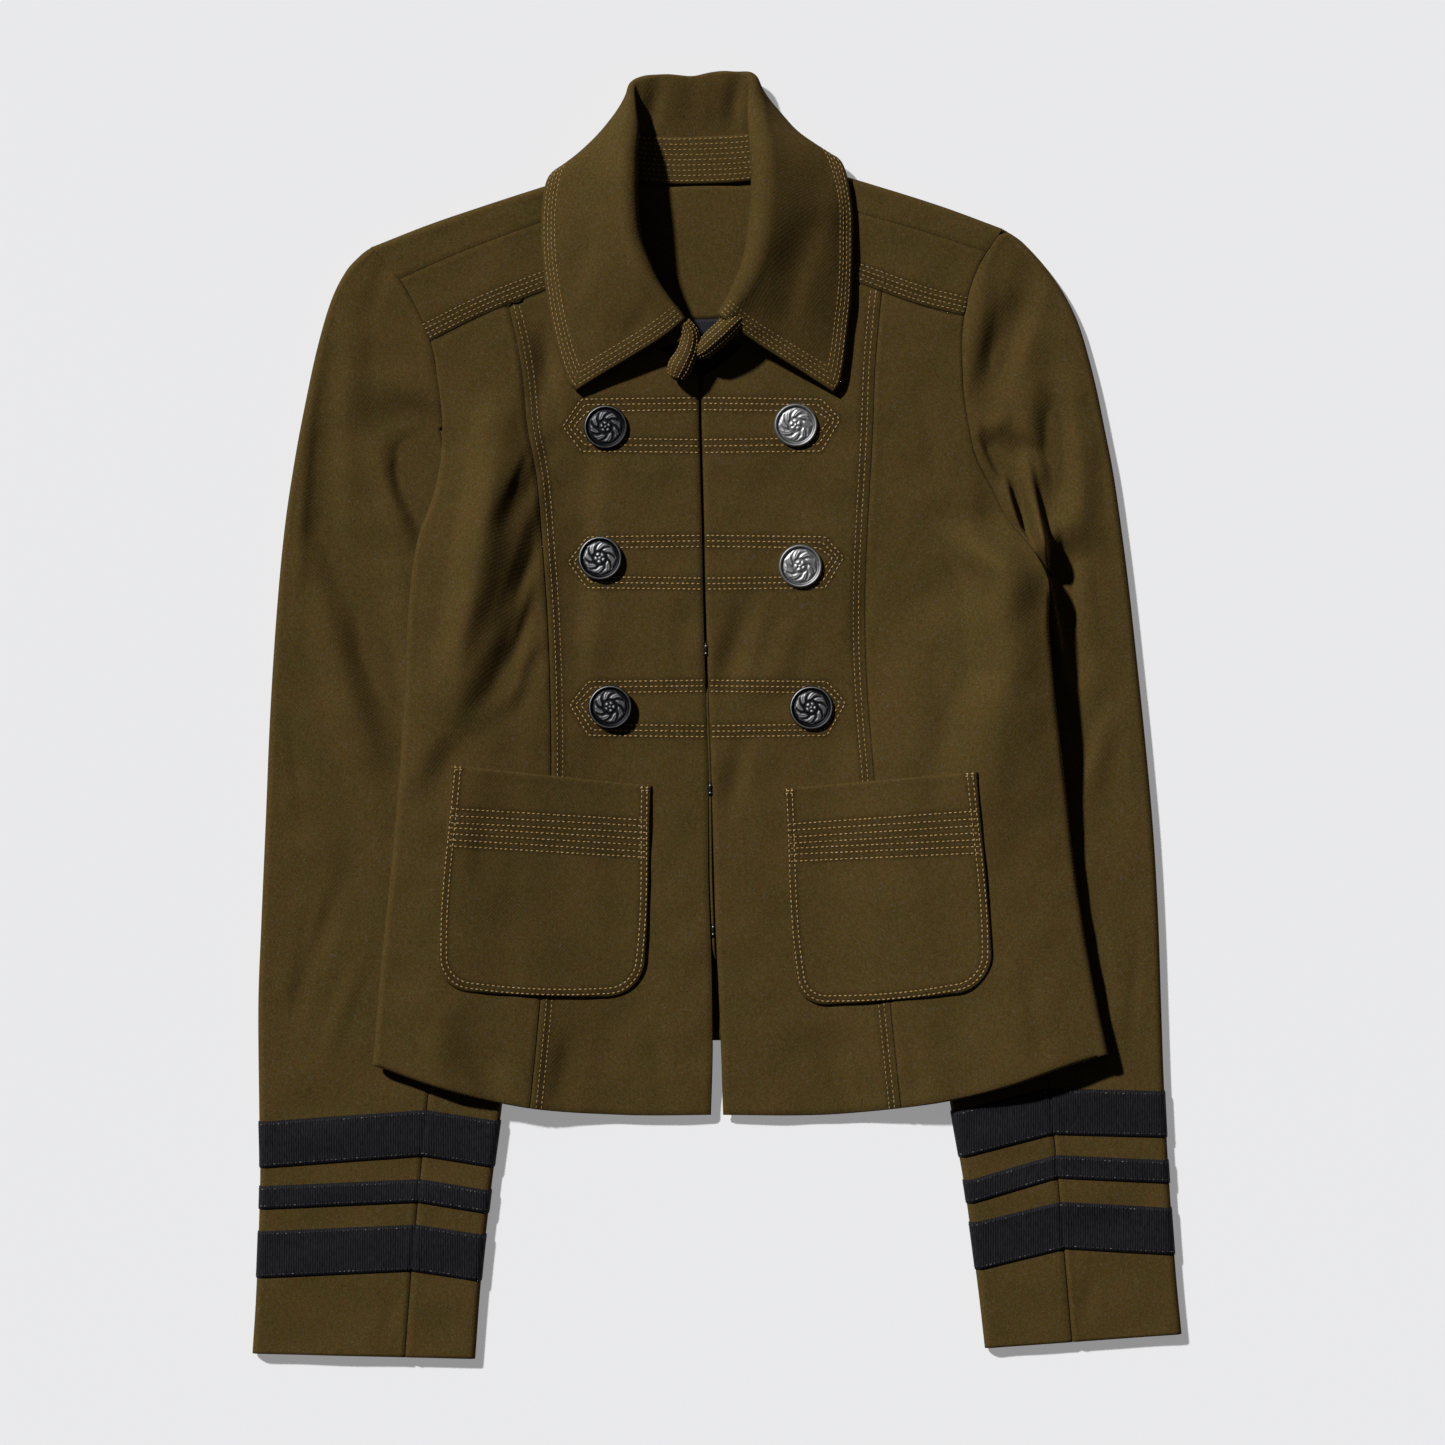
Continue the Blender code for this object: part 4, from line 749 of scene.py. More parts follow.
SLEEVE_CREASES = rows_of(
    FoldRow,
    (-178.8, 134.8, -141.4, 146.9, 20, 2.4, 0.3),
    (-170, 152.4, -144.7, 82, 20, 4.4, -0.35),
    (-185.4, 156.8, -157.9, 161.2, 10, -0.7),
    (-188.7, 155.7, -167.8, 87.5, 12, -2.4),
    (-217.3, 200.8, -212.9, 41.2, 15, 2.6, 0.2),
    (-208.5, 118.3, -159, -41.2, 25, 5.4, -0.2),
    (-231.6, 189.8, -237.1, 35.8, 13, -1.7),
    (-227.2, 96.3, -185.4, -52.3, 16, -3),
    (-175.5, 85.2, -163.4, -13.8, 11, -2),
    (-198.6, 228.3, -201.9, 156.8, 13, -1.8),
    (-236, 9.9, -226.1, -69.9, 6, 0.5),
    (-200.8, -79.8, -229.4, -162.2, 9, 1.2, -0.2),
    (-189.8, -118.3, -219.5, -200.8, 8, -0.9),
    (-222.2, -104, -232.1, -179.9, 8, 0.8, -0.2),
    (-175.5, 261.2, -195.3, 211.8, 9, 0.9),
    (175.5, 253.6, 145.8, 164.5, 14, 3.8, 0.1),
    (150.2, 255.8, 137, 178.8, 10, -2.2),
    (181, 211.8, 193.6, 68.8, 13, 3.4),
    (196.4, 184.3, 206.3, 68.8, 11, -2),
    (166.7, 184.3, 175.5, 129.2, 9, -1.6),
    (146.3, 157.9, 162.2, 127.1, 7, 4.6, -0.35),
    (148, 149.1, 184.3, 137, 13, 2.4, 0.3),
    (161.2, 164.5, 148, 155.7, 7, -1),
    (161.2, 138.1, 178.8, 68.8, 6, 6.2, -0.2),
    (154.6, 137, 171.1, 79.8, 4.5, -4.2, 0.3),
    (166.7, 144.7, 194.2, 2.8, 6.5, -10, 0.35),
    (179.9, 132.6, 199.7, 13.8, 9, 6.5, -0.3),
    (192, 134.8, 205.2, 35.8, 9, -1.6),
    (192, 85.2, 200.8, -46.8, 14, 3.2, -0.2),
    (210.7, 13.8, 193.1, -41.2, 9, 1.2, 0.2),
    (220.6, 8.2, 202.4, -46.8, 9, -1),
    (206.3, -85.8, 214, -170, 9, 0.9),
    (232.1, -110, 226.1, -189.8, 6, 0.6),
    (-176, -317.9, -184.3, -346, 7, 0.6),
    (206.3, -304.2, 200.2, -338.2, 7, 0.6),
)
BACK_CREASES = rows_of(
    FoldRow,
    (-88, 190, -96, 70, 10, 1.6),
    (66, 160, 84, 30, 11, 1.5),
    (-30, 90, -44, -60, 9, 1.1),
    (30, 10, 22, -130, 10, 1.2),
    (-92, -20, -74, -140, 9, 1.3),
    (-6, 230, 4, 130, 8, 0.9),
    (92, -40, 74, -150, 8, 1),
)
UNDER_SLEEVE_CREASES = rows_of(
    FoldRow,
    (-222, 150, -204, 40, 10, 1.5),
    (-176, 40, -196, -70, 9, 1.3),
    (-226, -80, -214, -190, 9, 1.1),
    (-160, -150, -176, -240, 8, 1),
    (200, 140, 214, 30, 10, 1.4),
    (184, 10, 196, -100, 9, 1.3),
    (228, -60, 222, -170, 8, 1),
    (168, -150, 184, -250, 9, 1.1),
)
COLLAR_CREASES = rows_of(
    FoldRow,
    (50.1, 275, 32.5, 209, 13, 1.9, 0.2),
    (63.3, 288.8, 61.1, 233.8, 10, -0.9),
    (-69.9, 286, -79.8, 225.5, 13, 1.4, 0.2),
    (-57.8, 232.1, -66, 200.2, 9, -0.8),
    (-34.1, 228.3, -52.3, 200.8, 8, 0.8),
    (-31.4, 352.6, -39.1, 318.5, 7, 2.6, 0.2),
    (11.6, 354.8, 6.1, 318.5, 7, 2.6, 0.2),
    (-11.6, 354.8, -16, 321.8, 9, 1.2),
    (15.4, 209, 40.2, 200.8, 8, 0.7),
)

# The slow waves all over a cloth: how many, and their least and greatest length
WAVES = 14
WAVE_LENGTHS = (22.0, 80.0)

# Painted shade: how much darker the cloth is painted along its seams and round its
# stitches, where the grooves and puckers hold shade, and how far from the stitches that
# reaches
SEAM_SHADE = 0.6
STITCH_SHADE = 0.42
STITCH_REACH = 1.5
# Rows of stitches: how far apart they are, how long, their radius and how far they sink
STITCH_PITCH = 2.8
STITCH_LENGTH = 1.9
STITCH_RADIUS = 0.34
STITCH_SINK = 0.12
# The radius of the stitches on the collar's fall and on its stand
COLLAR_THREAD = 0.21
STAND_THREAD = 0.22
# How far apart the stitches on the rolled ends and the ribbons are, how long, and their
# radius
ROLL_STITCH = (2.0, 1.5, 0.28)
RIBBON_STITCH = (2.4, 1.5, 0.24)
# How far the rows lie from their seam or edge
PRINCESS_ROWS = (3.4, 6.3)
YOKE_ROWS = (2.2, 4.8, 7.4, 10.0)
COLLAR_ROWS = (2.6, 5.0, 7.6, 10.0)
POCKET_SIDE_ROWS = (2.4, 5.3)
# How far round a rolled end its rows lie, in degrees
ROLL_ROWS = (25.0, 52.0, 79.0, 106.0, 133.0, 158.0)

# How much longer each row round a button is than the one inside it
TAB_GROWTH = 2.9
# Three rows above and three below each button, from the front edge to a pointed end
TabRow = namedtuple("TabRow", "side tip_x tip_y high low")
TABS = (
    TabRow(-1, -84.5, 158.5, (167.5, 171.0, 174.0), (151.0, 147.5, 144.0)),
    TabRow(-1, -81.5, 84.0, (92.5, 95.5, 98.5), (75.0, 72.0, 69.0)),
    TabRow(-1, -80.5, 5.5, (13.0, 16.0, 19.0), (-6.0, -9.0, -12.0)),
    TabRow(1, 67.5, 162.0, (167.5, 171.0, 174.0), (151.0, 147.5, 144.0)),
    TabRow(1, 69.5, 86.3, (92.5, 95.5, 98.5), (75.0, 72.0, 69.0)),
    TabRow(1, 70.5, 6.6, (13.0, 16.0, 19.0), (-6.0, -9.0, -12.0)),
)
# Heights of the rows across each pocket, at its left and its right side
LEFT_POCKET_ROWS = (
    (-51.2, -57.8), (-55.0, -61.0), (-58.9, -64.5), (-61.6, -68.0),
    (-64.9, -71.5), (-68.2, -75.0), (-71.5, -78.1),
)
RIGHT_POCKET_ROWS = (
    (-60.0, -52.5), (-63.3, -56.7), (-67.1, -60.5), (-70.4, -64.4),
    (-73.2, -68.2), (-76.5, -71.8), (-80.3, -75.4),
)

# How fine the surfaces are: the length of a step, or the number of steps, and how far
# from an edge its extra place lies
EDGE_STEP = 0.5
BODY_STEP = 1.9
TURN_STEPS = 18
HIDDEN_STEP = 4.0
SLEEVE_STEP = 2.0
POCKET_STEP = 1.5
YOKE_STEP = 1.6
SHOULDER_STEPS = 30
NECK_STEPS = 32
FOLD_STEPS = 10
STRIP_STEPS = 12
# The widths and the lengths that those steps divide
SIDE_FRONT_SPAN = 80.0
FRONT_SPAN = 95.0
YOKE_SPAN = 115.0
YOKE_DEPTH = 36.0
SHOULDER_SPAN = 118.0
STRIP_SPAN = 26.0
BACK_SPAN = 440.0
POCKET_SPAN = 118.0
CROWN_SPAN = 190.0
# How the upper sleeve's edge is tucked in: reaches past it, with the dips there
SLEEVE_TUCK = ((0.3, 1.2), (0.9, 1.9), (3.4, 2.1))
# A place for the front seam where a section has none
NO_SEAM = 9.0
# The deepest that a crease may press a sleeve
DEEPEST_CREASE = 4.6


def edged(steps, size):
    """Shares of a width in even steps, with one more place close to each end."""
    shares = np.linspace(0.0, 1.0, steps + 1)
    near = EDGE_STEP / size
    return np.concatenate([[0.0, near], shares[1:-1], [1.0 - near, 1.0]])


def undulation(x, y, height, seed):
    """Slow uneven waves all over a cloth."""
    chance = np.random.default_rng(seed)
    total = np.zeros(np.broadcast(x, y).shape)
    for _ in range(WAVES):
        length = chance.uniform(*WAVE_LENGTHS)
        turn = chance.uniform(0.0, math.pi)
        phase = chance.uniform(0.0, 2 * math.pi)
        along = x * math.cos(turn) + y * math.sin(turn)
        total = total + np.sin(along * 2 * math.pi / length + phase)
    return total * height / math.sqrt(WAVES / 2)


def away_from(line, x, y):
    """Distance in plan from points to a line of points, and the side that they are on."""
    line = np.asarray(line, float)
    best = np.full(np.broadcast(x, y).shape, 1e9)
    side = np.zeros(best.shape)
    for start, end in zip(line[:-1], line[1:]):
        run = end - start
        length = math.hypot(*run)
        if length < 1e-6:
            continue
        share = ((x - start[0]) * run[0] + (y - start[1]) * run[1]) / length**2
        share = np.clip(share, 0.0, 1.0)
        off_x = x - start[0] - share * run[0]
        off_y = y - start[1] - share * run[1]
        off = np.hypot(off_x, off_y)
        nearer = off < best
        best = np.where(nearer, off, best)
        side = np.where(nearer, np.sign(run[0] * off_y - run[1] * off_x), side)
    return best, side


def shifted(line, distance):
    """A line moved sideways in plan, to its left for a distance above 0."""
    line = np.asarray(line, float)
    run = unit(np.gradient(line, axis=0))
    return line + np.column_stack([-run[:, 1], run[:, 0]]) * distance


def line_down(side, name, low, high, count):
    """A line down the body in plan, between two heights."""
    levels = np.linspace(low, high, count)
    return plan(side.line(name, levels), levels)


def princess_line(side):
    """The princess seam from the hem to the yoke seam, in plan."""
    return line_down(side, "princess", *princess_ends(side), 90)


def yoke_line(side):
    """The yoke seam from the armhole to the neck."""
    return spread([(row.yoke_x, row.yoke_y) for row in side.shoulder], np.linspace(0, 1, 40))


def shoulder_line(side):
    """The shoulder seam from the armhole to the neck."""
    return spread([(row.seam_x, row.seam_y) for row in side.shoulder], np.linspace(0, 1, 40))


def front_line(side):
    """The front edge from the hem to the neck."""
    return line_down(side, "front", front_foot(side), side.neckline[-1].y, 60)


def armhole_line(side):
    """The armhole seam from the underarm to the shoulder."""
    return line_down(side, "edge", side.underarm_y, side.shoulder[0].fold_y, 50)


def hem_line():
    """The front hem from side to side."""
    x = np.linspace(HEM[0].x, HEM[-1].x, 120)
    return np.column_stack([x, hem_y("front", x)])


def pocket_line(corners, inset=0.0):
    """The outline of a pocket from its upper left corner round the foot to the right."""
    corner = [np.array([row.x, row.y]) for row in corners]
    points = [corner[0]]
    for before, at, after in ((0, 3, 2), (3, 2, 1)):
        size = corners[at].round
        back_way = unit(corner[before] - corner[at])
        on_way = unit(corner[after] - corner[at])
        centre = corner[at] + (back_way + on_way) * size
        for angle in np.linspace(0.0, math.pi / 2, 9):
            points.append(centre - size * (on_way * math.cos(angle) + back_way * math.sin(angle)))
    points.append(corner[1])
    line = spread(points, np.linspace(0, 1, 120))
    return shifted(line, inset) if inset else line


def tab_lines():
    """The rows of stitches that outline the tabs round the buttons."""
    lines = []
    for tab in TABS:
        side = LEFT if tab.side < 0 else RIGHT
        for number, (high, low) in enumerate(zip(tab.high, tab.low)):
            grow = (number - 1) * TAB_GROWTH
            tip_x = tab.tip_x + tab.side * (grow - TAB_GROWTH)
            shoulder = tip_x - tab.side * (9.0 + 0.4 * grow)
            ends = [float(side.line("front", level)) + tab.side * 1.2 for level in (high, low)]
            lines.append([
                (ends[0], high), (shoulder, high - 0.8), (tip_x, tab.tip_y),
                (shoulder, low + 0.8), (ends[1], low),
            ])
    return lines


def pocket_tacks(corners):
    """The short rows that hold a pocket's upper corners."""
    tacks = []
    for corner, way in ((corners[0], 1.0), (corners[1], -1.0)):
        for drop in (1.2, 2.6):
            y = corner.y - drop
            tacks.append([(corner.x + way * 1.6, y), (corner.x + way * 6.4, y)])
    return tacks


def pocket_rows(corners, levels):
    """The rows of stitches across a pocket."""
    rows = []
    for pair in levels:
        row = []
        for y, top, foot, inset in zip(pair, corners[:2], corners[:1:-1], (2.0, -2.0)):
            share = (top.y - y) / (top.y - foot.y)
            row.append((top.x + share * (foot.x - top.x) + inset, y))
        rows.append(row)
    return rows


def body_stitch_lines():
    """Every row of stitches on the fronts and the yokes, as lines in plan."""
    lines = []
    for side in SIDES:
        lines += [shifted(princess_line(side), side.sign * off) for off in PRINCESS_ROWS]
        lines += [shifted(yoke_line(side), -side.sign * off) for off in YOKE_ROWS]
    return lines + [np.asarray(line, float) for line in tab_lines()]


def is_short(line):
    """Whether a line is a short list of corners, as the tabs' rows are."""
    return len(line) < 12


def beside(line, x, y):
    """Distance in plan from points to a row of stitches, of which a third is enough."""
    return away_from(line if is_short(line) else line[::3], x, y)[0]


def stitch_radius(line):
    """The tabs' rows, which are short lists of corners, are sewn with the heaviest thread."""
    return STITCH_RADIUS if is_short(line) else 0.7 * STITCH_RADIUS


BODY_STITCHES = body_stitch_lines()


def ridge(away, middle, width, power=2):
    """A soft swelling beside a line, from 0 to 1."""
    return np.exp(-(((away - middle) / width) ** power))


def groove(away, width, depth):
    """A soft dip along a line."""
    return -depth * ridge(away, 0.0, width)


def body_relief(x, y):
    """What the sewing and the creases add to the height of the fronts and the yokes."""
    total = undulation(x, y, 0.22, 7) - trough(BODY_CREASES, x, y)
    for side in SIDES:
        away, place = away_from(princess_line(side), x, y)
        inside = place * side.sign > 0
        total = total + groove(away, 0.9, 0.5 if side.sign < 0 else 0.35)
        total = total + np.where(inside, 0.35, 0.2) * ridge(away, 2.4, 1.6)
        away, place = away_from(yoke_line(side), x, y)
        above = place * side.sign < 0
        total = total + groove(away, 0.9, 0.6)
        total = total + np.where(above, 0.45, 0.0) * ridge(away, 5.0, 5.0, 4)
        away, _ = away_from(shoulder_line(side), x, y)
        total = total + groove(away, 0.8, 0.25) + 0.12 * ridge(away, 2.2, 1.5)
        for line, width, depth in ((armhole_line(side), 0.8, 0.5), (front_line(side), 1.0, 0.9)):
            total = total + groove(away_from(line, x, y)[0], width, depth)
    for line in BODY_STITCHES:
        total = total + groove(beside(line, x, y), 0.9, 0.22)
    return total + groove(beside(hem_line(), x, y), 1.0, 0.8)


def body_surface(x, y):
    """Height of the fronts' finished upper face."""
    return front_top(x, y) + body_relief(x, y)


def pocket_surface(corners, rows):
    """A function that gives the height of a pocket's finished upper face."""
    outline = pocket_line(corners)
    lines = [pocket_line(corners, off) for off in POCKET_SIDE_ROWS] + pocket_rows(corners, rows)
    top = [(corner.x, corner.y) for corner in corners[:2]]

    def height(x, y):
        total = front_top(x, y) + POCKET_CLEAR + POCKET_CLOTH
        total = total + undulation(x, y, 0.16, 11) - 0.8 * trough(BODY_CREASES, x, y)
        away, _ = away_from(outline, x, y)
        total = total + groove(away, 0.9, 0.7) + 0.35 * ridge(away, 3.6, 2.2)
        for line in lines:
            total = total + groove(away_from(line, x, y)[0], 0.8, 0.25)
        return total + 0.3 * ridge(away_from(top, x, y)[0], 2.0, 2.0)

    return height


# Width of a rib of the twill and of the ribbon, in metres
RIB = 0.0013


class Value:
    """A number that changes over a surface, so that maths on it reads as Python."""

    def __init__(self, finish, socket):
        self.finish = finish
        self.socket = socket

    def maths(self, operation, first, second):
        return self.finish.node("ShaderNodeMath", {"operation": operation}, {0: first, 1: second})

    def __add__(self, other):
        return self.maths("ADD", self, other)

    def __radd__(self, other):
        return self.maths("ADD", other, self)

    def __sub__(self, other):
        return self.maths("SUBTRACT", self, other)

    def __rsub__(self, other):
        return self.maths("SUBTRACT", other, self)

    def __mul__(self, other):
        return self.maths("MULTIPLY", self, other)

    def __rmul__(self, other):
        return self.maths("MULTIPLY", other, self)

    def __truediv__(self, other):
        return self.maths("DIVIDE", self, other)

    def __pow__(self, other):
        return self.maths("POWER", self, other)


class Finish:
    """One material: its Principled shader, and the nodes that vary it."""

    def __init__(self, name, **constants):
        self.material = bpy.data.materials.new(name)
        self.material.use_nodes = True
        self.tree = self.material.node_tree
        self.shader = self.tree.nodes["Principled BSDF"]
        for socket, value in constants.items():
            self.shader.inputs[socket.replace("_", " ")].default_value = value

    def node(self, kind, settings=None, inputs=None, output=0):
        """Add a node: its settings first, then its inputs, as values or links."""
        made = self.tree.nodes.new(kind)
        for name, value in (settings or {}).items():
            if name == "stops":
                self.set_stops(made.color_ramp, value)
            else:
                setattr(made, name, value)
        for name, value in (inputs or {}).items():
            if isinstance(value, Value):
                self.tree.links.new(value.socket, made.inputs[name])
            else:
                made.inputs[name].default_value = value
        return Value(self, made.outputs[output])

    def set_stops(self, ramp, stops):
        """Give a ramp its stops, as pairs of a place and a level."""
        while len(ramp.elements) < len(stops):
            ramp.elements.new(0.5)
        for element, (place, level) in zip(ramp.elements, stops):
            element.position = place
            element.color = (level, level, level, 1.0)

    def feed(self, name, value):
        """Link a value to a socket of the shader."""
        self.tree.links.new(value.socket, self.shader.inputs[name])

    def place(self):
        """Where a point is on the object, in metres."""
        return self.node("ShaderNodeTexCoord", output=3)

    def axes(self, place):
        """The three coordinates of a place."""
        parts = self.node("ShaderNodeSeparateXYZ", {}, {0: place})
        outputs = parts.socket.node.outputs
        return [Value(self, outputs[index]) for index in range(3)]

    def stretched(self, place, scale):
        """A place scaled along its axes."""
        inputs = {"Vector": place, "Scale": scale}
        return self.node("ShaderNodeMapping", {"vector_type": "POINT"}, inputs)

    def noise(self, place, scale, detail, roughness):
        """Soft random variation from 0 to 1."""
        inputs = {"Vector": place, "Scale": scale, "Detail": detail, "Roughness": roughness}
        return self.node("ShaderNodeTexNoise", {}, inputs)

    def ramp(self, value, stops):
        """A value passed through a ramp."""
        return self.node("ShaderNodeValToRGB", {"stops": stops}, {0: value})

    def sine(self, value):
        """The sine of a value."""
        return self.node("ShaderNodeMath", {"operation": "SINE"}, {0: value})

    def attribute(self, name):
        """A number kept on the mesh's points."""
        return self.node("ShaderNodeAttribute", {"attribute_name": name}, output=2)

    def mixed(self, factor, first, second, blend="MIX"):
        """Two colours mixed."""
        settings = {"data_type": "RGBA", "blend_type": blend}
        return self.node("ShaderNodeMix", settings, {0: factor, 6: first, 7: second}, output=2)

    def shaded(self, base, level):
        """A colour made lighter or darker by a level."""
        shade = self.node("ShaderNodeCombineColor", {}, {0: level, 1: level, 2: level})
        return self.mixed(1.0, base, shade, "MULTIPLY")

    def bump(self, height, strength, distance):
        """Feed the shader's normal with a height in metres."""
        inputs = {"Height": height, "Strength": strength, "Distance": distance}
        self.feed("Normal", self.node("ShaderNodeBump", {}, inputs))


def colour(rgb):
    """A colour with its fourth number."""
    return (*rgb, 1.0)


def twill_finish(name, cloth):
    """Olive cotton twill: fine slanting ribs, mottled dye, pale flecks, and painted shade along
    the seams and stitches.
    """
    finish = Finish(name, Roughness=1.0, Specular_IOR_Level=0.04)
    place = finish.place()
    x, y, z = finish.axes(place)
    slant = finish.sine((x * 0.80 - y * 0.6 + z * 0.7) * (2 * math.pi / RIB))
    warp = finish.noise(finish.stretched(place, (1500.0, 240.0, 1500.0)), 1.0, 3.0, 0.6)
    weft = finish.noise(finish.stretched(place, (300.0, 1400.0, 300.0)), 1.0, 2.0, 0.5)
    cloud = finish.noise(place, 34.0, 3.0, 0.55)
    patch = finish.noise(place, 240.0, 3.0, 0.65)
    grain = finish.noise(place, 760.0, 3.0, 0.75)
    fleck = finish.ramp(finish.noise(place, 900.0, 2.0, 0.6), ((0.56, 0.0), (0.78, 1.0)))
    tint = finish.ramp(cloud * 0.3 + patch * 0.7, ((0.38, 0.0), (0.62, 1.0)))
    green = colour((cloth[0] * 0.93, cloth[1] * 1.03, cloth[2] * 0.97))
    brown = colour((cloth[0] * 1.06, cloth[1] * 0.95, cloth[2] * 1.03))
    base = finish.mixed(tint, green, brown)
    level = -0.16 + 0.46 * warp + 0.28 * weft + 1.26 * grain + 0.24 * cloud + 0.07 * slant
    # The sewn attribute darkens the cloth here as painted shade along the seams and stitches
    base = finish.shaded(base, level * (1.0 - finish.attribute("sewn")))
    pale = colour((cloth[0] * 1.5, cloth[1] * 2.1, cloth[2] * 8.0))
    finish.feed("Base Color", finish.mixed(fleck * 0.5, base, pale))
    finish.bump(0.2 * slant + 1.2 * warp + 1.2 * grain, 0.4, 0.00020)
    return finish.material


def ribbon_finish(name, ribbon):
    """Ribbed ribbon, blue black, with a soft lustre."""
    finish = Finish(name, Roughness=0.7, Specular_IOR_Level=0.16)
    place = finish.place()
    x, _, z = finish.axes(place)
    ribs = finish.sine((x + 0.35 * z) * (2 * math.pi / RIB))
    fine = finish.noise(finish.stretched(place, (1300.0, 300.0, 1300.0)), 1.0, 3.0, 0.7)
    finish.feed("Base Color", finish.shaded(colour(ribbon), -1.25 + 0.1 * ribs + 4.3 * fine))
    finish.bump(0.6 * ribs + 0.8 * fine, 0.5, 0.0003)
    return finish.material


def lining_finish(name, lining):
    """Smooth dark lining."""
    finish = Finish(name, Roughness=0.6, Specular_IOR_Level=0.2)
    place = finish.place()
    fine = finish.noise(finish.stretched(place, (1400.0, 300.0, 1400.0)), 1.0, 2.0, 0.6)
    slow = finish.noise(place, 60.0, 2.0, 0.5)
    finish.feed("Base Color", finish.shaded(colour(lining), 0.6 + 0.4 * fine + 0.4 * slow))
    finish.bump(fine, 0.3, 0.0002)
    return finish.material


def thread_finish(name, thread, pale, share):
    """Sewing thread, lighter on some stitches than on others, with pale specks."""
    finish = Finish(name, Roughness=0.6, Specular_IOR_Level=0.35)
    place = finish.place()
    fibre = finish.noise(place, 2600.0, 2.0, 0.6)
    slow = finish.noise(place, 210.0, 2.0, 0.6)
    base = finish.shaded(colour(thread), 0.6 * fibre + 1.25 * slow)
    speck = finish.ramp(finish.noise(place, 500.0, 1.0, 0.5), ((0.55, 0.0), (0.64, share)))
    finish.feed("Base Color", finish.mixed(speck, base, colour(pale)))
    finish.bump(fibre, 0.4, 0.0002)
    return finish.material


def metal_finish(name, metal, bright):
    """Gunmetal, dark in the low places and rubbed bright on the high ones; the same mark paints
    the reflection on two buttons and the glints on the hooks.
    """
    finish = Finish(name, Metallic=1.0)
    place = finish.place()
    cloud = finish.noise(place, 420.0, 3.0, 0.6)
    scratch = finish.noise(finish.stretched(place, (900.0, 2600.0, 900.0)), 1.0, 2.0, 0.7)
    # The mark is wear on the buttons' relief, a painted reflection on two buttons and painted
    # glints on the hooks
    rub_and_glint = finish.ramp(finish.attribute("worn") + 0.3 * cloud, ((0.40, 0.0), (1.15, 1.0)))
    finish.feed("Base Color", finish.mixed(rub_and_glint, colour(metal), colour(bright)))
    finish.feed("Roughness", 0.36 + 0.22 * cloud + 0.1 * scratch)
    finish.bump(scratch, 0.12, 0.0001)
    return finish.material


def wire_finish(name, shade):
    """Black lacquered wire with bare metal where it rubs."""
    finish = Finish(name, Metallic=1.0, Roughness=0.28)
    place = finish.place()
    rubbed = finish.ramp(finish.noise(place, 900.0, 2.0, 0.6), ((0.60, 0.0), (0.72, 1.0)))
    finish.feed("Base Color", finish.mixed(rubbed, colour(shade), (0.30, 0.30, 0.31, 1.0)))
    return finish.material


def floor_finish(name, shade, glow):
    """A pale smooth floor, which stays light in the shadows."""
    finish = Finish(name, Roughness=0.9, Specular_IOR_Level=0.1)
    slow = finish.noise(finish.place(), 0.8, 2.0, 0.5)
    finish.feed("Base Color", finish.shaded(colour(shade), 0.985 + 0.03 * slow))
    finish.shader.inputs["Emission Color"].default_value = colour((0.985, 0.985, 1.0))
    finish.shader.inputs["Emission Strength"].default_value = glow
    return finish.material


# The stage: how far the floor reaches in mm and how far it lies below the jacket in m,
# where the sun comes from and how wide it is, and the camera's sensor and its place
FLOOR_REACH = 3000.0
FLOOR_CLEAR = 0.0003
SUN_FROM = (-1.0, 1.0, 1.12)
SUN_WIDTH = math.radians(3.5)
SENSOR = 36.0
CAMERA_AT = (0.003, -0.0041)

# The materials made so far, by kind
FINISHES = {}


def finish_named(kind):
    """The material of a kind, made once."""
    if kind not in FINISHES:
        chosen = bpy.context.scene.jacket_looks
        make, name, *values = {
            "twill": (twill_finish, "Olive twill", chosen.cloth),
            "ribbon": (ribbon_finish, "Ribbed ribbon", chosen.ribbon),
            "lining": (lining_finish, "Navy lining", chosen.lining),
            "thread": (thread_finish, "Tan thread", chosen.thread, (0.42, 0.36, 0.25), 0.5),
            "dark_thread": (
                thread_finish, "Dark thread", chosen.dark_thread, (0.16, 0.155, 0.15), 0.9,
            ),
            "metal": (metal_finish, "Worn gunmetal", chosen.metal, chosen.worn_metal),
            "wire": (wire_finish, "Black wire", chosen.wire),
        }[kind]
        FINISHES[kind] = make(name, *values)
    return FINISHES[kind]


def normals_of(grid):
    """Unit normals of a grid of points, up where columns run right and rows run up."""
    along = np.gradient(grid, axis=1)
    up = np.gradient(grid, axis=0)
    normal = np.cross(along, up)
    length = np.linalg.norm(normal, axis=2, keepdims=True)
    return normal / np.maximum(length, 1e-9)


def add_mesh(name, points, faces, finish, numbers=None):
    """Link a mesh object in metres, with a finish and numbers on its points."""
    mesh = bpy.data.meshes.new(name)
    mesh.from_pydata((np.asarray(points) * MM).tolist(), [], faces)
    for key, values in (numbers or {}).items():
        layer = mesh.attributes.new(key, "FLOAT", "POINT")
        layer.data.foreach_set("value", np.asarray(values, np.float32))
    mesh.shade_smooth()
    mesh.materials.append(finish)
    piece = bpy.data.objects.new(name, mesh)
    bpy.context.scene.collection.objects.link(piece)
    return piece


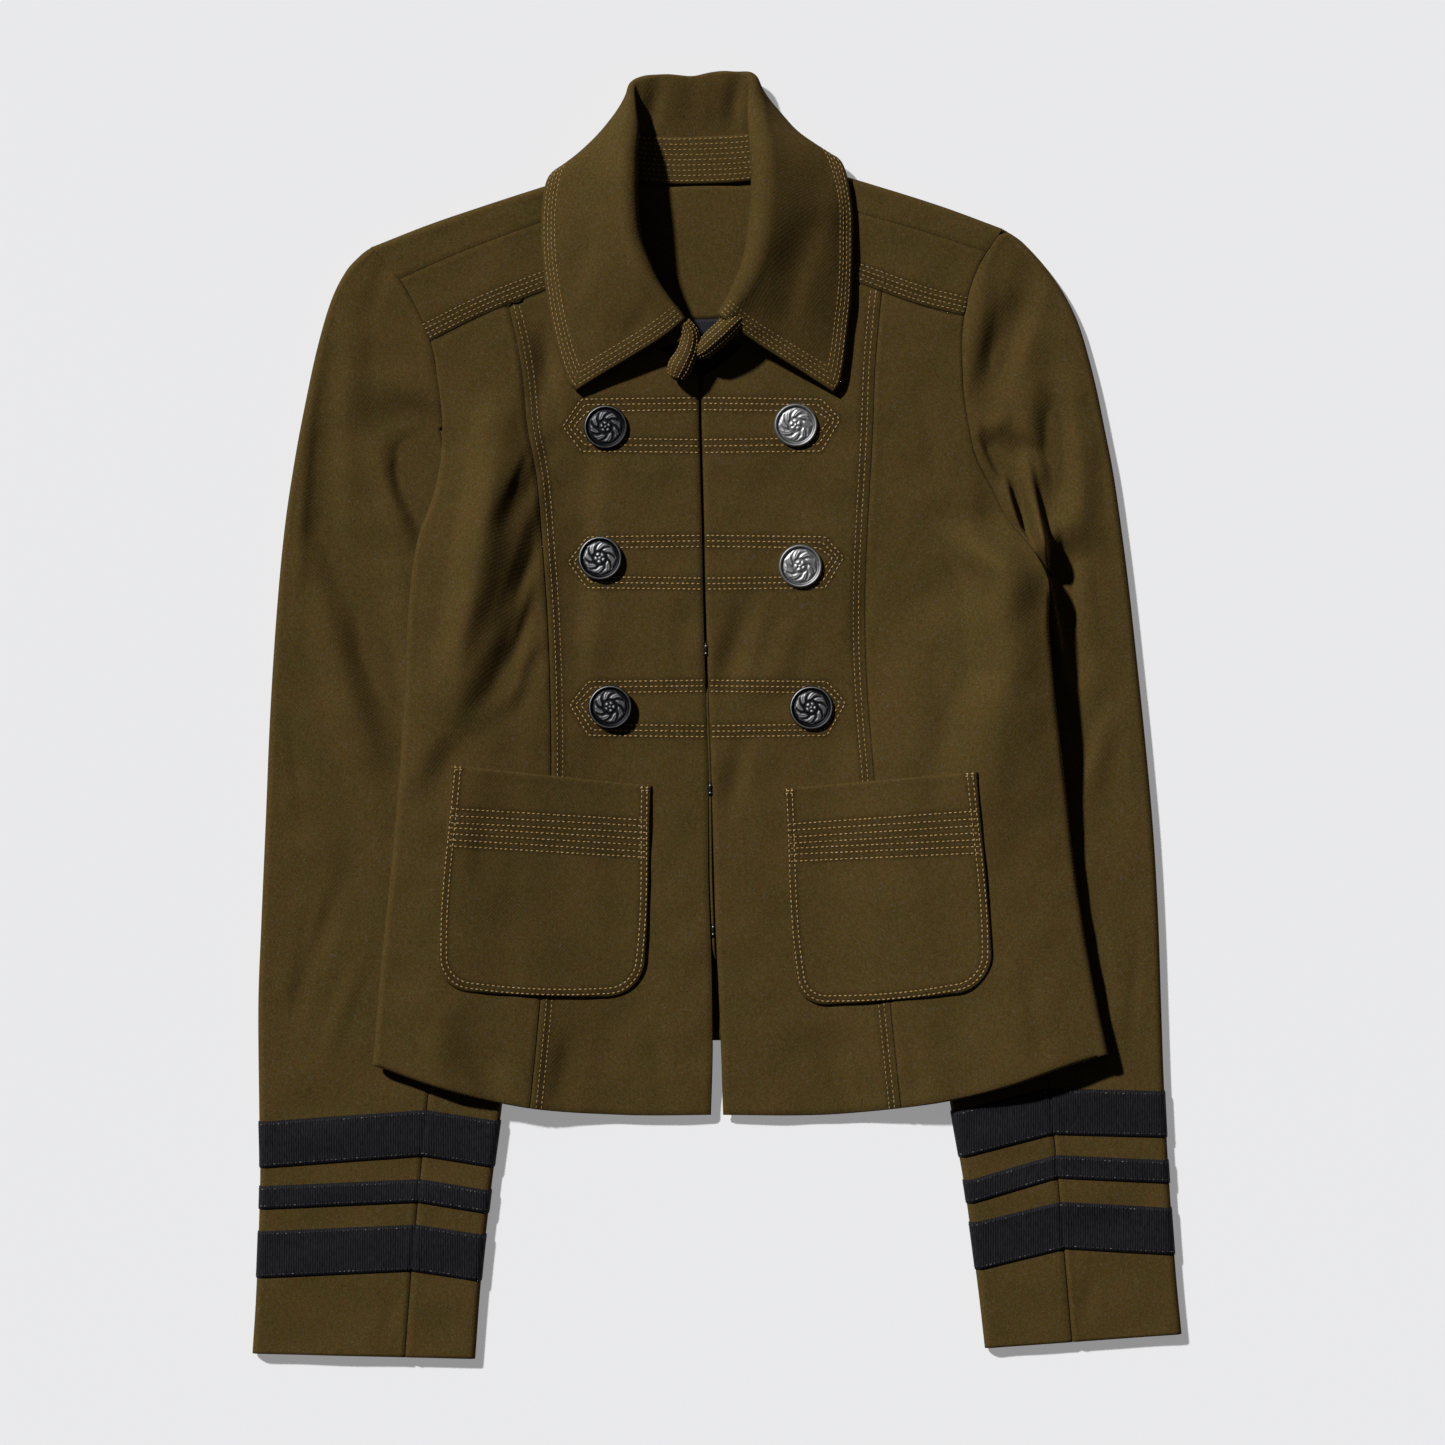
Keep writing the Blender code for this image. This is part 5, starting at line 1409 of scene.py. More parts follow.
def wall_of(grid, thickness, turned, start):
    """Points and faces of a closed wall of cloth whose outer face is a grid."""
    rows, columns = grid.shape[:2]
    normal = normals_of(grid) * (-1.0 if turned else 1.0)
    inner = grid - normal * thickness
    points = np.concatenate([grid.reshape(-1, 3), inner.reshape(-1, 3)])
    index = np.arange(rows * columns).reshape(rows, columns) + start
    quads = [index[:-1, :-1], index[:-1, 1:], index[1:, 1:], index[1:, :-1]]
    quads = np.stack(quads, axis=-1).reshape(-1, 4)
    under = quads[:, ::-1] + rows * columns
    ring = np.concatenate([index[0, :-1], index[:-1, -1], index[-1, :0:-1], index[:0:-1, 0]])
    ring_below = ring + rows * columns
    rim = np.stack([ring, ring_below, np.roll(ring_below, -1), np.roll(ring, -1)], axis=-1)
    faces = np.concatenate([quads, under, rim])
    if turned:
        faces = faces[:, ::-1]
    return points, faces


def closed_rings(rows, around, start=0):
    """Faces of rings joined in order, and closed by the two points that follow them."""
    index = np.arange(rows * around).reshape(rows, around) + start
    after = np.roll(index, -1, axis=1)
    faces = np.stack([index[:-1], index[1:], after[1:], after[:-1]], axis=-1)
    faces = faces.reshape(-1, 4).tolist()
    end = start + rows * around
    faces += [(end, a, b) for a, b in zip(index[0], after[0])]
    faces += [(end + 1, b, a) for a, b in zip(index[-1], after[-1])]
    return faces


def add_cloth(name, grids, turned=False, kind="twill", thickness=CLOTH, sewn=None, seams=""):
    """One piece of cloth from grids on its outer face, as a closed wall.

    seams names the borders of the grids that are sewn: low, high, left or right, or the
    tucked columns past the right. Those borders, and the places near stitches that sewn
    gives, are painted darker as shade.
    """
    every = slice(None)
    borders = {
        "low": (0, every), "high": (-1, every), "left": (every, 0), "right": (every, -1),
        "tucked": (every, slice(-4, None)),
    }
    points = []
    faces = []
    marks = []
    start = 0
    for grid in grids:
        more, joined = wall_of(grid, thickness, turned, start)
        more[:, 2] = np.maximum(more[:, 2], 0.0)
        points.append(more)
        faces.append(joined)
        # Painted shade, kept on the points as sewn: darker near the stitches and along the sewn
        # and tucked borders
        mark = np.zeros(grid.shape[:2])
        if sewn:
            mark = STITCH_SHADE * sewn(grid[..., 0], grid[..., 1])
        for border in seams.split():
            mark[borders[border]] = SEAM_SHADE
        marks.extend([mark.ravel(), np.zeros(mark.size)])
        start += len(more)
    numbers = {"sewn": np.concatenate(marks)}
    faces = np.concatenate(faces).tolist()
    return add_mesh(name, np.concatenate(points), faces, finish_named(kind), numbers)


def stitch_shade_marks(lines):
    """How near points are to rows of stitches, from 0 to 1, which sets the painted shade along
    them.
    """
    def mark(x, y):
        nearest = np.full(x.shape, 1e9)
        for line in lines:
            nearest = np.minimum(nearest, beside(line, x, y))
        return ridge(nearest, 0.0, STITCH_REACH)
    return mark


def settle(piece, replaced):
    """Attach a piece to the root, and hide the solids that it stands for."""
    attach(piece, "root")
    if replaced:
        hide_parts(*replaced)
    return piece


class Thread:
    """Stitches gathered into one mesh, each a short rounded bar."""

    def __init__(self, seed):
        self.chance = np.random.default_rng(seed)
        self.places = []

    def run(self, line, normals, pitch=STITCH_PITCH, length=STITCH_LENGTH, radius=STITCH_RADIUS):
        """Lay stitches along a line of points, with the cloth's normals there."""
        known = lengths_along(line)
        count = int(round((known[-1] - length) / pitch)) + 1
        if count < 2:
            return
        middle = np.linspace(length / 2, known[-1] - length / 2, count)
        middle = middle + self.chance.uniform(-0.2, 0.2) * pitch
        middle = middle + self.chance.normal(0.0, 0.04 * pitch, count)
        middle = np.clip(middle, length / 2, known[-1] - length / 2)
        ends = []
        for off in (-0.5, 0.5):
            at = middle + off * length * self.chance.uniform(0.92, 1.06, count)
            ends.append(np.stack([np.interp(at, known, axis) for axis in line.T], axis=1))
        up = unit(np.stack([np.interp(middle, known, axis) for axis in normals.T], axis=1))
        turn = self.chance.normal(0.0, 0.05, count)[:, None]
        run = ends[1] - ends[0]
        size = np.linalg.norm(run, axis=1)[:, None]
        run = run / np.maximum(size, 1e-6)
        side = np.cross(up, run)
        run = unit(run + side * turn)
        centre = (ends[0] + ends[1]) / 2 + up * (0.75 * radius - STITCH_SINK)
        self.places.append((centre, run * length, side * radius, up * 0.8 * radius))

    def add(self, name, kind="thread"):
        """Make the mesh."""
        centre, *axes = [np.concatenate(values)[:, None] for values in zip(*self.places)]
        around = 6
        angles = np.arange(around) * 2 * math.pi / around
        shape = [(-0.5, 0.0, -0.55)]
        for along in (-0.34, 0.34):
            shape.extend((along, math.cos(angle), math.sin(angle)) for angle in angles)
        shape.append((0.5, 0.0, -0.55))
        points = centre
        for axis, reaches in zip(axes, np.transpose(shape)):
            points = points + axis * reaches[None, :, None]
        first = []
        last = len(shape) - 1
        for step in range(around):
            after = (step + 1) % around
            first.append((0, 1 + after, 1 + step, 1 + step))
            first.append((1 + step, 1 + after, 1 + around + after, 1 + around + step))
            first.append((last, 1 + around + step, 1 + around + after, 1 + around + after))
        first = np.array(first)
        faces = (np.arange(len(centre)) * len(shape))[:, None, None] + first[None]
        faces = [list(dict.fromkeys(face)) for face in faces.reshape(-1, 4).tolist()]
        piece = add_mesh(name, points.reshape(-1, 3), faces, finish_named(kind))
        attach(piece, "root")
        return piece


def on_surface(line, height):
    """A line in plan laid on a surface, with the surface's normals along it."""
    line = np.asarray(line, float)
    known = lengths_along(line)
    fine = np.linspace(0.0, known[-1], max(int(known[-1] / 1.2), 3))
    x, y = [np.interp(fine, known, axis) for axis in line.T]
    step = 0.6
    slope_x = (height(x + step, y) - height(x - step, y)) / (2 * step)
    slope_y = (height(x, y + step) - height(x, y - step)) / (2 * step)
    normal = unit(np.column_stack([-slope_x, -slope_y, np.ones(len(x))]))
    return np.column_stack([x, y, height(x, y)]), normal


def side_front_grid(side):
    """The outer face of a side front, from its turned edge beneath to the princess seam."""
    yoke = side.shoulder[0].yoke_y
    corner = hem_corner(side).y
    foot, top = princess_ends(side)
    low = int((side.underarm_y - corner) / BODY_STEP)
    high = int((yoke - side.underarm_y) / BODY_STEP)
    edge_y = two_runs(corner, side.underarm_y, yoke, low, high)
    princess_y = two_runs(foot, side.underarm_y + PRINCESS_TURN, top, low, high)
    edge = plan(side.line("edge", edge_y), edge_y)
    outer = edge - [side.sign * TURN_FLAT, 0.0]
    inner = plan(side.line("princess", princess_y), princess_y)
    shares = edged(int(SIDE_FRONT_SPAN / BODY_STEP), SIDE_FRONT_SPAN)
    low_x = outer[0, 0] + shares * (inner[0, 0] - outer[0, 0])
    high_x = outer[-1, 0] + shares * (inner[-1, 0] - outer[-1, 0])
    low_line = plan(low_x, hem_y("front", low_x))
    high_line = plan(high_x, yoke_y(side, high_x))
    for border, end in ((outer, 0), (inner, -1)):
        border[0] = low_line[end]
        border[-1] = high_line[end]
    flat = with_height(between(low_line, high_line, outer, inner), body_surface)
    turn = side_turn(side, edge, outer)
    fall = front_top(turn[..., 0], turn[..., 1]) - turn[..., 2]
    relief = body_relief(turn[..., 0], turn[..., 1])
    turn[..., 2] += relief * (1 - smoothstep(fall / 2.5))
    turn[:, 0] = flat[:, 0]
    return np.concatenate([turn[:, :0:-1], flat], axis=1)


def two_runs(foot, turn, top, low, high):
    """Heights from the foot to the underarm's level and on to the top, closer at the ends."""
    levels = np.linspace(foot, turn, low + 1)
    levels = np.concatenate([levels, np.linspace(turn, top, high + 1)[1:]])
    return np.insert(levels, [1, -1], [levels[0] + EDGE_STEP, levels[-1] - EDGE_STEP])


def centre_front_grid(side):
    """The outer face of a centre front."""
    foot, top = princess_ends(side)
    levels = edged(int((top - foot) / BODY_STEP), top - foot)
    princess_y = foot + (top - foot) * levels
    princess = plan(side.line("princess", princess_y), princess_y)
    front_y = front_foot(side) + (side.neckline[-1].y - front_foot(side)) * levels
    front = plan(side.line("front", front_y), front_y)
    shares = edged(int(FRONT_SPAN / BODY_STEP), FRONT_SPAN)
    low_x = princess[0, 0] + shares * (front[0, 0] - princess[0, 0])
    low = plan(low_x, hem_y("front", low_x))
    turn = int((len(shares) - 1) * 3 / 7)
    yoke_shares = shares[: turn + 1] / shares[turn]
    yoke_x = princess[-1, 0] + (side.neckline[2].x - princess[-1, 0]) * yoke_shares
    neck = spread(side.neckline[2:], (shares[turn:] - shares[turn]) / (1 - shares[turn]))
    high = np.concatenate([plan(yoke_x, yoke_y(side, yoke_x)), neck[1:]])
    princess[0], princess[-1], front[0], front[-1] = low[0], high[0], low[-1], high[-1]
    return ordered(side, with_height(between(low, high, princess, front), body_surface))


def yoke_grid(side):
    """The outer face of a front yoke."""
    shares = edged(int(YOKE_SPAN / YOKE_STEP), YOKE_SPAN)
    rise = edged(int(YOKE_DEPTH / YOKE_STEP), YOKE_DEPTH)
    low = spread([(row.yoke_x, row.yoke_y) for row in side.shoulder], shares)
    low[:, 1] = yoke_y(side, low[:, 0])
    high = spread([(row.seam_x, row.seam_y) for row in side.shoulder], shares)
    levels = low[0, 1] + (high[0, 1] - low[0, 1]) * rise
    armhole = plan(side.line("edge", levels), levels)
    neck = spread(side.neckline[:3][::-1], rise)
    low[0], high[0], low[-1], high[-1] = armhole[0], armhole[-1], neck[0], neck[-1]
    return ordered(side, with_height(between(low, high, armhole, neck), body_surface))


def back_under(x, y):
    """Height of the back's underside, with its creases lifted off the floor."""
    return lift(x, y) + trough(BACK_CREASES, x, y)


def shoulder_strip(side):
    """The back's strip over one shoulder, and the line on which its turn begins."""
    shares = edged(SHOULDER_STEPS, SHOULDER_SPAN)
    radius = STACK / 2
    fold = spread([(row.fold_x, row.fold_y) for row in side.shoulder], shares)
    stitched = spread([(row.seam_x, row.seam_y) for row in side.shoulder], shares)
    outward = unit(fold - stitched)
    start = fold - outward * radius
    strips = []
    for angle in np.linspace(0.0, math.pi, FOLD_STEPS + 1):
        place = start + outward * radius * math.sin(angle)
        height = np.full(len(place), radius * (1 - math.cos(angle)))
        strips.append(np.column_stack([place, height]))
    for share in edged(STRIP_STEPS, STRIP_SPAN)[2:]:
        place = start + (stitched - start) * share
        x, y = place.T
        height = front_top(x, y) + smoothstep(share * 3) * body_relief(x, y)
        strips.append(np.column_stack([place, height]))
    return start, np.array(strips)


def back_grids():
    """The outer face of the back: the panel itself, and the strip over each shoulder."""
    (left_top, left_strip), (right_top, right_strip) = [shoulder_strip(side) for side in SIDES]
    neck = spread(BACK_NECKLINE, np.linspace(0.0, 1.0, NECK_STEPS + 1))
    high = np.concatenate([left_top, neck[1:-1], right_top[::-1]])
    borders = []
    for side in SIDES:
        count = int(BACK_SPAN / HIDDEN_STEP) + 1
        levels = np.linspace(hem_corner(side).y, side.shoulder[0].fold_y, count)
        inset = STACK / 2 + TURN_RUN + SIDE_SEAM_GAP
        inset = inset * (1 - smoothstep((levels - side.underarm_y + 5) / 20))
        borders.append(plan(side.line("edge", levels) - side.sign * inset, levels))
    low_x = np.linspace(borders[0][0, 0], borders[1][0, 0], len(high))
    low = plan(low_x, hem_y("back", low_x))
    for border, end in zip(borders, (0, -1)):
        border[0] = low[end]
        border[-1] = high[end]
    main = with_height(between(low, high, *borders), back_under)
    main[-1, :, 2] = 0.0
    return [main, left_strip, right_strip[:, ::-1]]


def sleeve_inner_height(side, place, row):
    """Height of the sleeve's upper face at its inner fold, or at the armhole seam."""
    known = np.arange(side.underarm + 1)
    tucked = float(through(known, column(side.sleeve[: side.underarm + 1], "inner_height"), place))
    if place <= side.underarm:
        return tucked
    seam_height = float(front_top(np.array(row.inner_x), np.array(row.inner_y)))
    blend = smoothstep(place - side.underarm)
    return tucked * (1 - blend) + seam_height * blend


def sleeve_section(side, place, turns, seam_turn):
    """Points round the sleeve at a place along it, for turns as the solids count them.

    Turns are 0 to 1 across the upper layer from the outer fold to the inner one, below 0
    round the outer fold and back, and above 1 round the inner fold and back.
    """
    turns = np.array(turns, float)
    row = sleeve_row(side, place)
    outer = np.array([row.outer_x, row.outer_y])
    inner = np.array([row.inner_x, row.inner_y])
    width = np.linalg.norm(inner - outer)
    inward = (inner - outer) / width
    is_open = place > side.underarm
    inner_height = sleeve_inner_height(side, place, row)
    outer_height = max(min(SLEEVE_HEIGHT, 0.9 * width), 2 * CLOTH + GAP)
    radius = outer_height / 2
    inner_radius = 0.0 if is_open else inner_height / 2
    flat = width - radius - inner_radius
    away = np.empty(len(turns))
    height = np.empty(len(turns))
    top = (turns >= 0) & (turns <= 1)
    fold = (turns < 0) & (turns >= -1)
    far = (turns > 1) & (turns <= 2)
    away[top] = radius + turns[top] * flat
    eased = smoothstep((0.8 - turns[top]) / 0.6)
    height[top] = inner_height + (outer_height - inner_height) * eased
    angle = -turns[fold] * math.pi
    away[fold] = radius - radius * np.sin(angle)
    height[fold] = radius + radius * np.cos(angle)
    beneath = turns < -1
    away[beneath] = radius + (-1 - turns[beneath]) * flat
    angle = (turns[far] - 1) * math.pi
    away[far] = radius + flat + inner_radius * np.sin(angle)
    height[far] = inner_radius + inner_radius * np.cos(angle)
    last = turns > 2
    away[last] = radius + flat - (turns[last] - 2) * flat
    x = outer[0] + inward[0] * away
    y = outer[1] + inward[1] * away
    under = beneath | last
    height[under] = trough(UNDER_SLEEVE_CREASES, x[under], y[under])
    press = smoothstep(np.minimum(turns[top], 1 - turns[top]) / 0.1)
    pressed = trough(SLEEVE_FOLDS, x[top], y[top]) - undulation(x[top], y[top], 0.25, 23)
    fade = 0.06 if is_open else 0.1
    near = smoothstep(np.minimum(turns[top] / 0.08, (1 - turns[top]) / fade))
    creased = np.minimum(near * trough(SLEEVE_CREASES, x[top], y[top]), DEEPEST_CREASE)
    height[top] = np.maximum(height[top] - press * pressed - creased, 2 * CLOTH)
    seam_away = np.abs(turns[top] - seam_turn) * flat
    sewn = groove(seam_away, 0.9, 0.8) + 0.25 * ridge(seam_away, 2.2, 1.5)
    if is_open:
        armhole_away = (1 - turns[top]) * flat
        sewn = sewn + groove(armhole_away, 0.9, 0.5) + 0.3 * ridge(armhole_away, 5.0, 3.5)
    height[top] = height[top] + sewn
    return np.column_stack([x, y, height])


def sleeve_places(side, step):
    """Places along the sleeve, from the cuff to the shoulder."""
    length = side.sleeve[side.underarm].inner_y - side.sleeve[0].inner_y
    low = np.linspace(0.0, side.underarm, int(length / step) + 1)
    high = np.linspace(side.underarm, len(side.sleeve) - 1, int(CROWN_SPAN / step))[1:]
    return low, high


def seam_shares(side, place):
    """Where the front seam and the seam beneath cross a section."""
    return min(sleeve_row(side, place).seam, 1.0), back_seam_share(side, place)


def sleeve_grids(side):
    """The outer faces of the upper sleeve and the under sleeve."""
    upper = []
    under = []
    for place in np.concatenate(sleeve_places(side, SLEEVE_STEP)):
        seam, beneath = seam_shares(side, place)
        turns = np.concatenate([
            np.linspace(-1 - beneath, -1, 16)[:-1], np.linspace(-1, 0, 9)[:-1],
            seam * edged(56, 90.0),
        ])
        section = sleeve_section(side, place, turns, seam if place <= side.underarm else NO_SEAM)
        on = unit(section[-1] - section[-3])
        tucked = [section[-1] + on * reach - [0.0, 0.0, dip] for reach, dip in SLEEVE_TUCK]
        upper.append(np.vstack([section, tucked]))
        if place < side.underarm - 0.02:
            turns = np.concatenate([
                seam + (1 - seam) * edged(15, 35.0)[:-2], np.linspace(1, 2, 9)[:-1],
                np.linspace(2, 3 - beneath, 16),
            ])
            under.append(sleeve_section(side, place, turns, seam))
    on = upper[-1] - upper[-3]
    on = on / np.maximum(np.linalg.norm(on, axis=1), 1e-6)[:, None]
    upper.append(upper[-1] + on * 0.6 - [0.0, 0.0, 1.4])
    upper.append(upper[-1] + on * 2.6 - [0.0, 0.0, 0.5])
    for line in upper[-2:]:
        line[:, 2] = np.maximum(line[:, 2], 0.2)
    return np.array(upper), np.array(under)


def ribbon_grid(side, ribbon, clear):
    """A ribbon's outer face, laid over the sleeve to both folds, and its outward normals."""
    turns = np.concatenate([
        np.linspace(-RIBBON_END, 0.0, 8)[:-1],
        np.linspace(0.0, 1.0, 80),
        np.linspace(1.0, 1.0 + RIBBON_END, 8)[1:],
    ])
    fine = np.array([
        sleeve_section(side, place, turns, row_at(side.sleeve, place).seam)
        for place in np.linspace(0.0, 4.2, 190)
    ])
    normals = normals_of(fine) * -side.sign
    crossings = (0.0, side.sleeve[2].seam, 1.0)
    targets = np.interp(turns, crossings, (ribbon.outer_y, ribbon.seam_y, ribbon.inner_y))
    grid = []
    outward = []
    for share in np.linspace(-0.5, 0.5, max(int(ribbon.width / 1.6), 6)):
        off = clear + 0.1 * smoothstep((0.5 - abs(share)) * ribbon.width / 1.5)
        places, facing = [
            np.array([
                [np.interp(target, fine[:, i, 1], axis) for axis in table[:, i].T]
                for i, target in enumerate(targets + share * ribbon.width)
            ])
            for table in (fine, normals)
        ]
        facing = unit(facing)
        grid.append(places + facing * off)
        outward.append(facing)
    return np.array(grid), np.array(outward)


def collar_fine(row, outward, seam):
    """Middle points of one collar section: up the stand, and over the roll and down."""
    tilt = math.radians(row.tilt)
    up = np.array([0.0, 0.0, 1.0])
    rise = math.cos(tilt) * up + math.sin(tilt) * outward
    over = math.cos(tilt) * outward - math.sin(tilt) * up
    crest = np.array([row.ridge_x, row.ridge_y, row.ridge_z])
    centre = crest - row.roll * rise
    edge = np.array([row.edge_x, row.edge_y, row.edge_z])
    inside = centre - row.roll * over
    climb = np.linalg.norm(inside - seam)
    split = min(STAND_HEIGHT / climb, 0.9)
    stand = [seam + (inside - seam) * split * share for share in np.linspace(0.0, 1.0, 14)]
    fall = []
    for share in np.linspace(-0.3, 1.0, 9)[:-1]:
        point = seam + (inside - seam) * (split + (1 - split) * share)
        fall.append(point + over * 1.7 * (1 - smoothstep(share)))
    for angle in np.linspace(0.0, ROLL_END, 12):
        fall.append(centre + row.roll * (math.sin(angle) * rise - math.cos(angle) * over))
    start = fall[-1]
    off = math.sin(ROLL_END) * over + math.cos(ROLL_END) * rise
    leave = off * np.linalg.norm(edge - start) * row.bulge
    arrive = edge - start
    for share in np.linspace(0.0, 1.0, 34)[1:]:
        rest = 1 - share
        point = start * (1 + 2 * share) * rest**2 + edge * (3 - 2 * share) * share**2
        point = point + leave * share * rest**2 - arrive * share**2 * rest
        point[2] = max(point[2], COLLAR_CLOTH / 2)
        fall.append(point)
    return np.array(stand), np.array(fall)


def collar_grids():
    """Middle points of the stand and of the fall, from the left front to the right."""
    rows = [row_at(COLLAR, place) for place in np.linspace(0.0, LAST_SECTION, 201)]
    tangent = unit(np.gradient([(row.ridge_x, row.ridge_y) for row in rows], axis=0))
    outward = np.column_stack([-tangent[:, 1], tangent[:, 0], np.zeros(len(rows))])
    seams = spread(neck_seam(), [row.neck for row in rows])
    stands = []
    falls = []
    for row, out, seam in zip(rows, outward, seams):
        place = seam + unit(np.array(NECK_CENTRE) - seam) * STAND_LAP
        low = STAND_LOW + (STAND_LOW_BACK - STAND_LOW) * smoothstep(row.tilt / 60.0)
        stand, fall = collar_fine(row, out, np.array([place[0], place[1], low]))
        stands.append(stand)
        falls.append(fall)
    left, right = [
        near + (stand_end(near, corner) - near) * END_SHOWN
        for near, corner in ((stands[0], LEFT_STAND_END), (stands[-1], RIGHT_STAND_END))
    ]
    return stands, falls, left, right


def stand_grid(stands, left, right):
    """The stand with its two ends, which run past the fall."""
    shares = np.linspace(0.0, 1.0, 10)
    head = [left + (stands[0] - left) * share for share in shares[:-1]]
    tail = [stands[-1] + (right - stands[-1]) * share for share in shares[1:]]
    return np.array(head + list(stands) + tail)


def run_lengths(grid, axis):
    """Length along a grid's lines up to each point."""
    step = np.linalg.norm(np.diff(grid, axis=axis), axis=2)
    total = np.cumsum(step, axis=axis)
    zero = np.zeros_like(np.take(total, [0], axis=axis))
    return np.concatenate([zero, total], axis=axis)


def fall_edges(fall):
    """Distances over the fall to its outer edge and to its two front edges."""
    down = run_lengths(fall, 1)
    to_outer = down[:, -1:] - down
    along = run_lengths(fall, 0)
    return to_outer, along, along[-1:] - along


def fall_face(fall):
    """The fall's outer face with its relief, and its outward normals."""
    normal = -normals_of(fall)
    to_outer, to_left, to_right = fall_edges(fall)
    section = np.linspace(0.0, LAST_SECTION, len(fall))[:, None]
    leaf = smoothstep((COLLAR_STITCHED - section) / 0.6)
    leaf = leaf + smoothstep((section - LAST_SECTION + COLLAR_STITCHED) / 0.6)
    nearest = np.minimum(np.minimum(to_outer, to_left), to_right)
    relief = undulation(fall[..., 0], fall[..., 1], 0.22, 31)
    for row in COLLAR_ROWS:
        relief = relief + leaf * groove(nearest - row, 0.8, 0.28)
    relief = relief + leaf * 0.25 * ridge(nearest, 6.2, 5.0, 4)
    relief = relief + groove(nearest, 0.9, 0.5)
    relief = relief - trough(COLLAR_CREASES, fall[..., 0], fall[..., 1])
    return fall + normal * (COLLAR_CLOTH / 2 + relief[..., None]), normal


def contour(tables, level, across):
    """A line over a grid where a distance from one edge has a level, and its normals.

    tables are the face, its normals, the distances and where to keep the line. The line
    has a point for each row of the grid, or for each column if across is false.
    """
    line = []
    facing = []
    if not across:
        tables = [table.swapaxes(0, 1) for table in tables]
    for points, normals, known, kept in zip(*tables):
        order = np.argsort(known)
        known = known[order]
        if not known[0] <= level <= known[-1]:
            continue
        if np.interp(level, known, kept[order].astype(float)) < 0.5:
            continue
        line.append([np.interp(level, known, axis) for axis in points[order].T])
        facing.append([np.interp(level, known, axis) for axis in normals[order].T])
    return np.array(line), np.array(facing)


def collar_threads(thread, face, normal, fall):
    """The rows of stitches along the edges of the fall's two leaves."""
    to_outer, to_left, to_right = fall_edges(fall)
    section = np.linspace(0.0, LAST_SECTION, len(fall))[:, None] + np.zeros(fall.shape[:2])
    columns = np.arange(fall.shape[1])[None, :] + np.zeros(fall.shape[:2])
    leaves = (
        (to_left, section < COLLAR_STITCHED),
        (to_right, section > LAST_SECTION - COLLAR_STITCHED),
    )
    for row in COLLAR_ROWS:
        for to_front, near in leaves:
            rows = np.nonzero(near[:, 0])[0]
            for across, distance, other, more in (
                (True, to_outer, to_front, True), (False, to_front, to_outer, columns > 12),
            ):
                keep = near & (other >= row - 0.4) & more
                tables = [table[rows] for table in (face, normal, distance, keep)]
                line, facing = contour(tables, row, across)
                if len(line) > 2:
                    thread.run(line, facing, radius=COLLAR_THREAD)


def stand_threads(thread, grid):
    """Rows of stitches all round the inside of the stand."""
    inner = -normals_of(grid)
    for place in np.linspace(1.0, grid.shape[1] - 1.6, 9):
        low = int(place)
        share = place - low
        line = grid[:, low] * (1 - share) + grid[:, min(low + 1, grid.shape[1] - 1)] * share
        thread.run(line + inner[:, low] * COLLAR_CLOTH / 2, inner[:, low], radius=STAND_THREAD)


def roll_grid(rolls):
    """The middle, the two axes and the rows of a rolled end, for places along it."""
    rows = [row_at(rolls, place) for place in np.linspace(0.0, len(rolls) - 1, 36)]
    middle = np.array([(row.x, row.y, row.z) for row in rows])
    run = unit(np.gradient(middle, axis=0))
    side = unit(np.cross(run, [0.0, 0.0, 1.0]))
    wide = np.array([row.wide for row in rows])[:, None]
    tall = np.array([row.tall for row in rows])[:, None]
    return middle, side, np.cross(side, run), wide, tall


def add_roll(name, rolls, thread):
    """A rolled and stitched end of the stand, closed at both ends."""
    middle, side, up, wide, tall = roll_grid(rolls)
    angles = np.linspace(0.0, 2 * math.pi, 25)[:-1]
    rings = np.stack([
        middle + side * wide * math.cos(a) + up * tall * math.sin(a) for a in angles
    ], axis=1)
    end = middle[-1] + (middle[-1] - middle[-2]) * 2.0
    points = np.concatenate([rings.reshape(-1, 3), [middle[0], end]])
    for angle in np.radians(ROLL_ROWS):
        line = middle + side * wide * math.cos(angle) + up * tall * math.sin(angle)
        thread.run(line, side * math.cos(angle) + up * math.sin(angle), *ROLL_STITCH)
    # A little painted shade all over the rolled end, through the sewn mark
    marks = {"sewn": np.full(len(points), 0.1)}
    return add_mesh(name, points, closed_rings(*rings.shape[:2]), finish_named("twill"), marks)


def button_relief(radius, angle):
    """The button's relief: a swirl of eight long leaves round a five petalled flower."""
    swirl = np.abs(np.cos(angle * 4 + 0.55 * (radius - 6.0)))
    edge = 1 - swirl
    leaf = swirl**1.6 * smoothstep((radius - 3.9) / 1.2) * smoothstep((9.3 - radius) / 1.6)
    vein = ridge(edge, 0.0, 0.05) * smoothstep((radius - 4.5) / 1.0)
    petal = np.abs(np.cos(angle * 2.5)) ** 0.8 * ridge(radius, 2.1, 0.9)
    curl = 0.5 * ridge(radius, 8.0 + 0.8 * np.cos(angle * 8), 0.45) * edge
    return 0.9 * leaf - 0.35 * vein * leaf + 0.8 * petal + 0.7 * ridge(radius, 0.0, 0.8) + curl


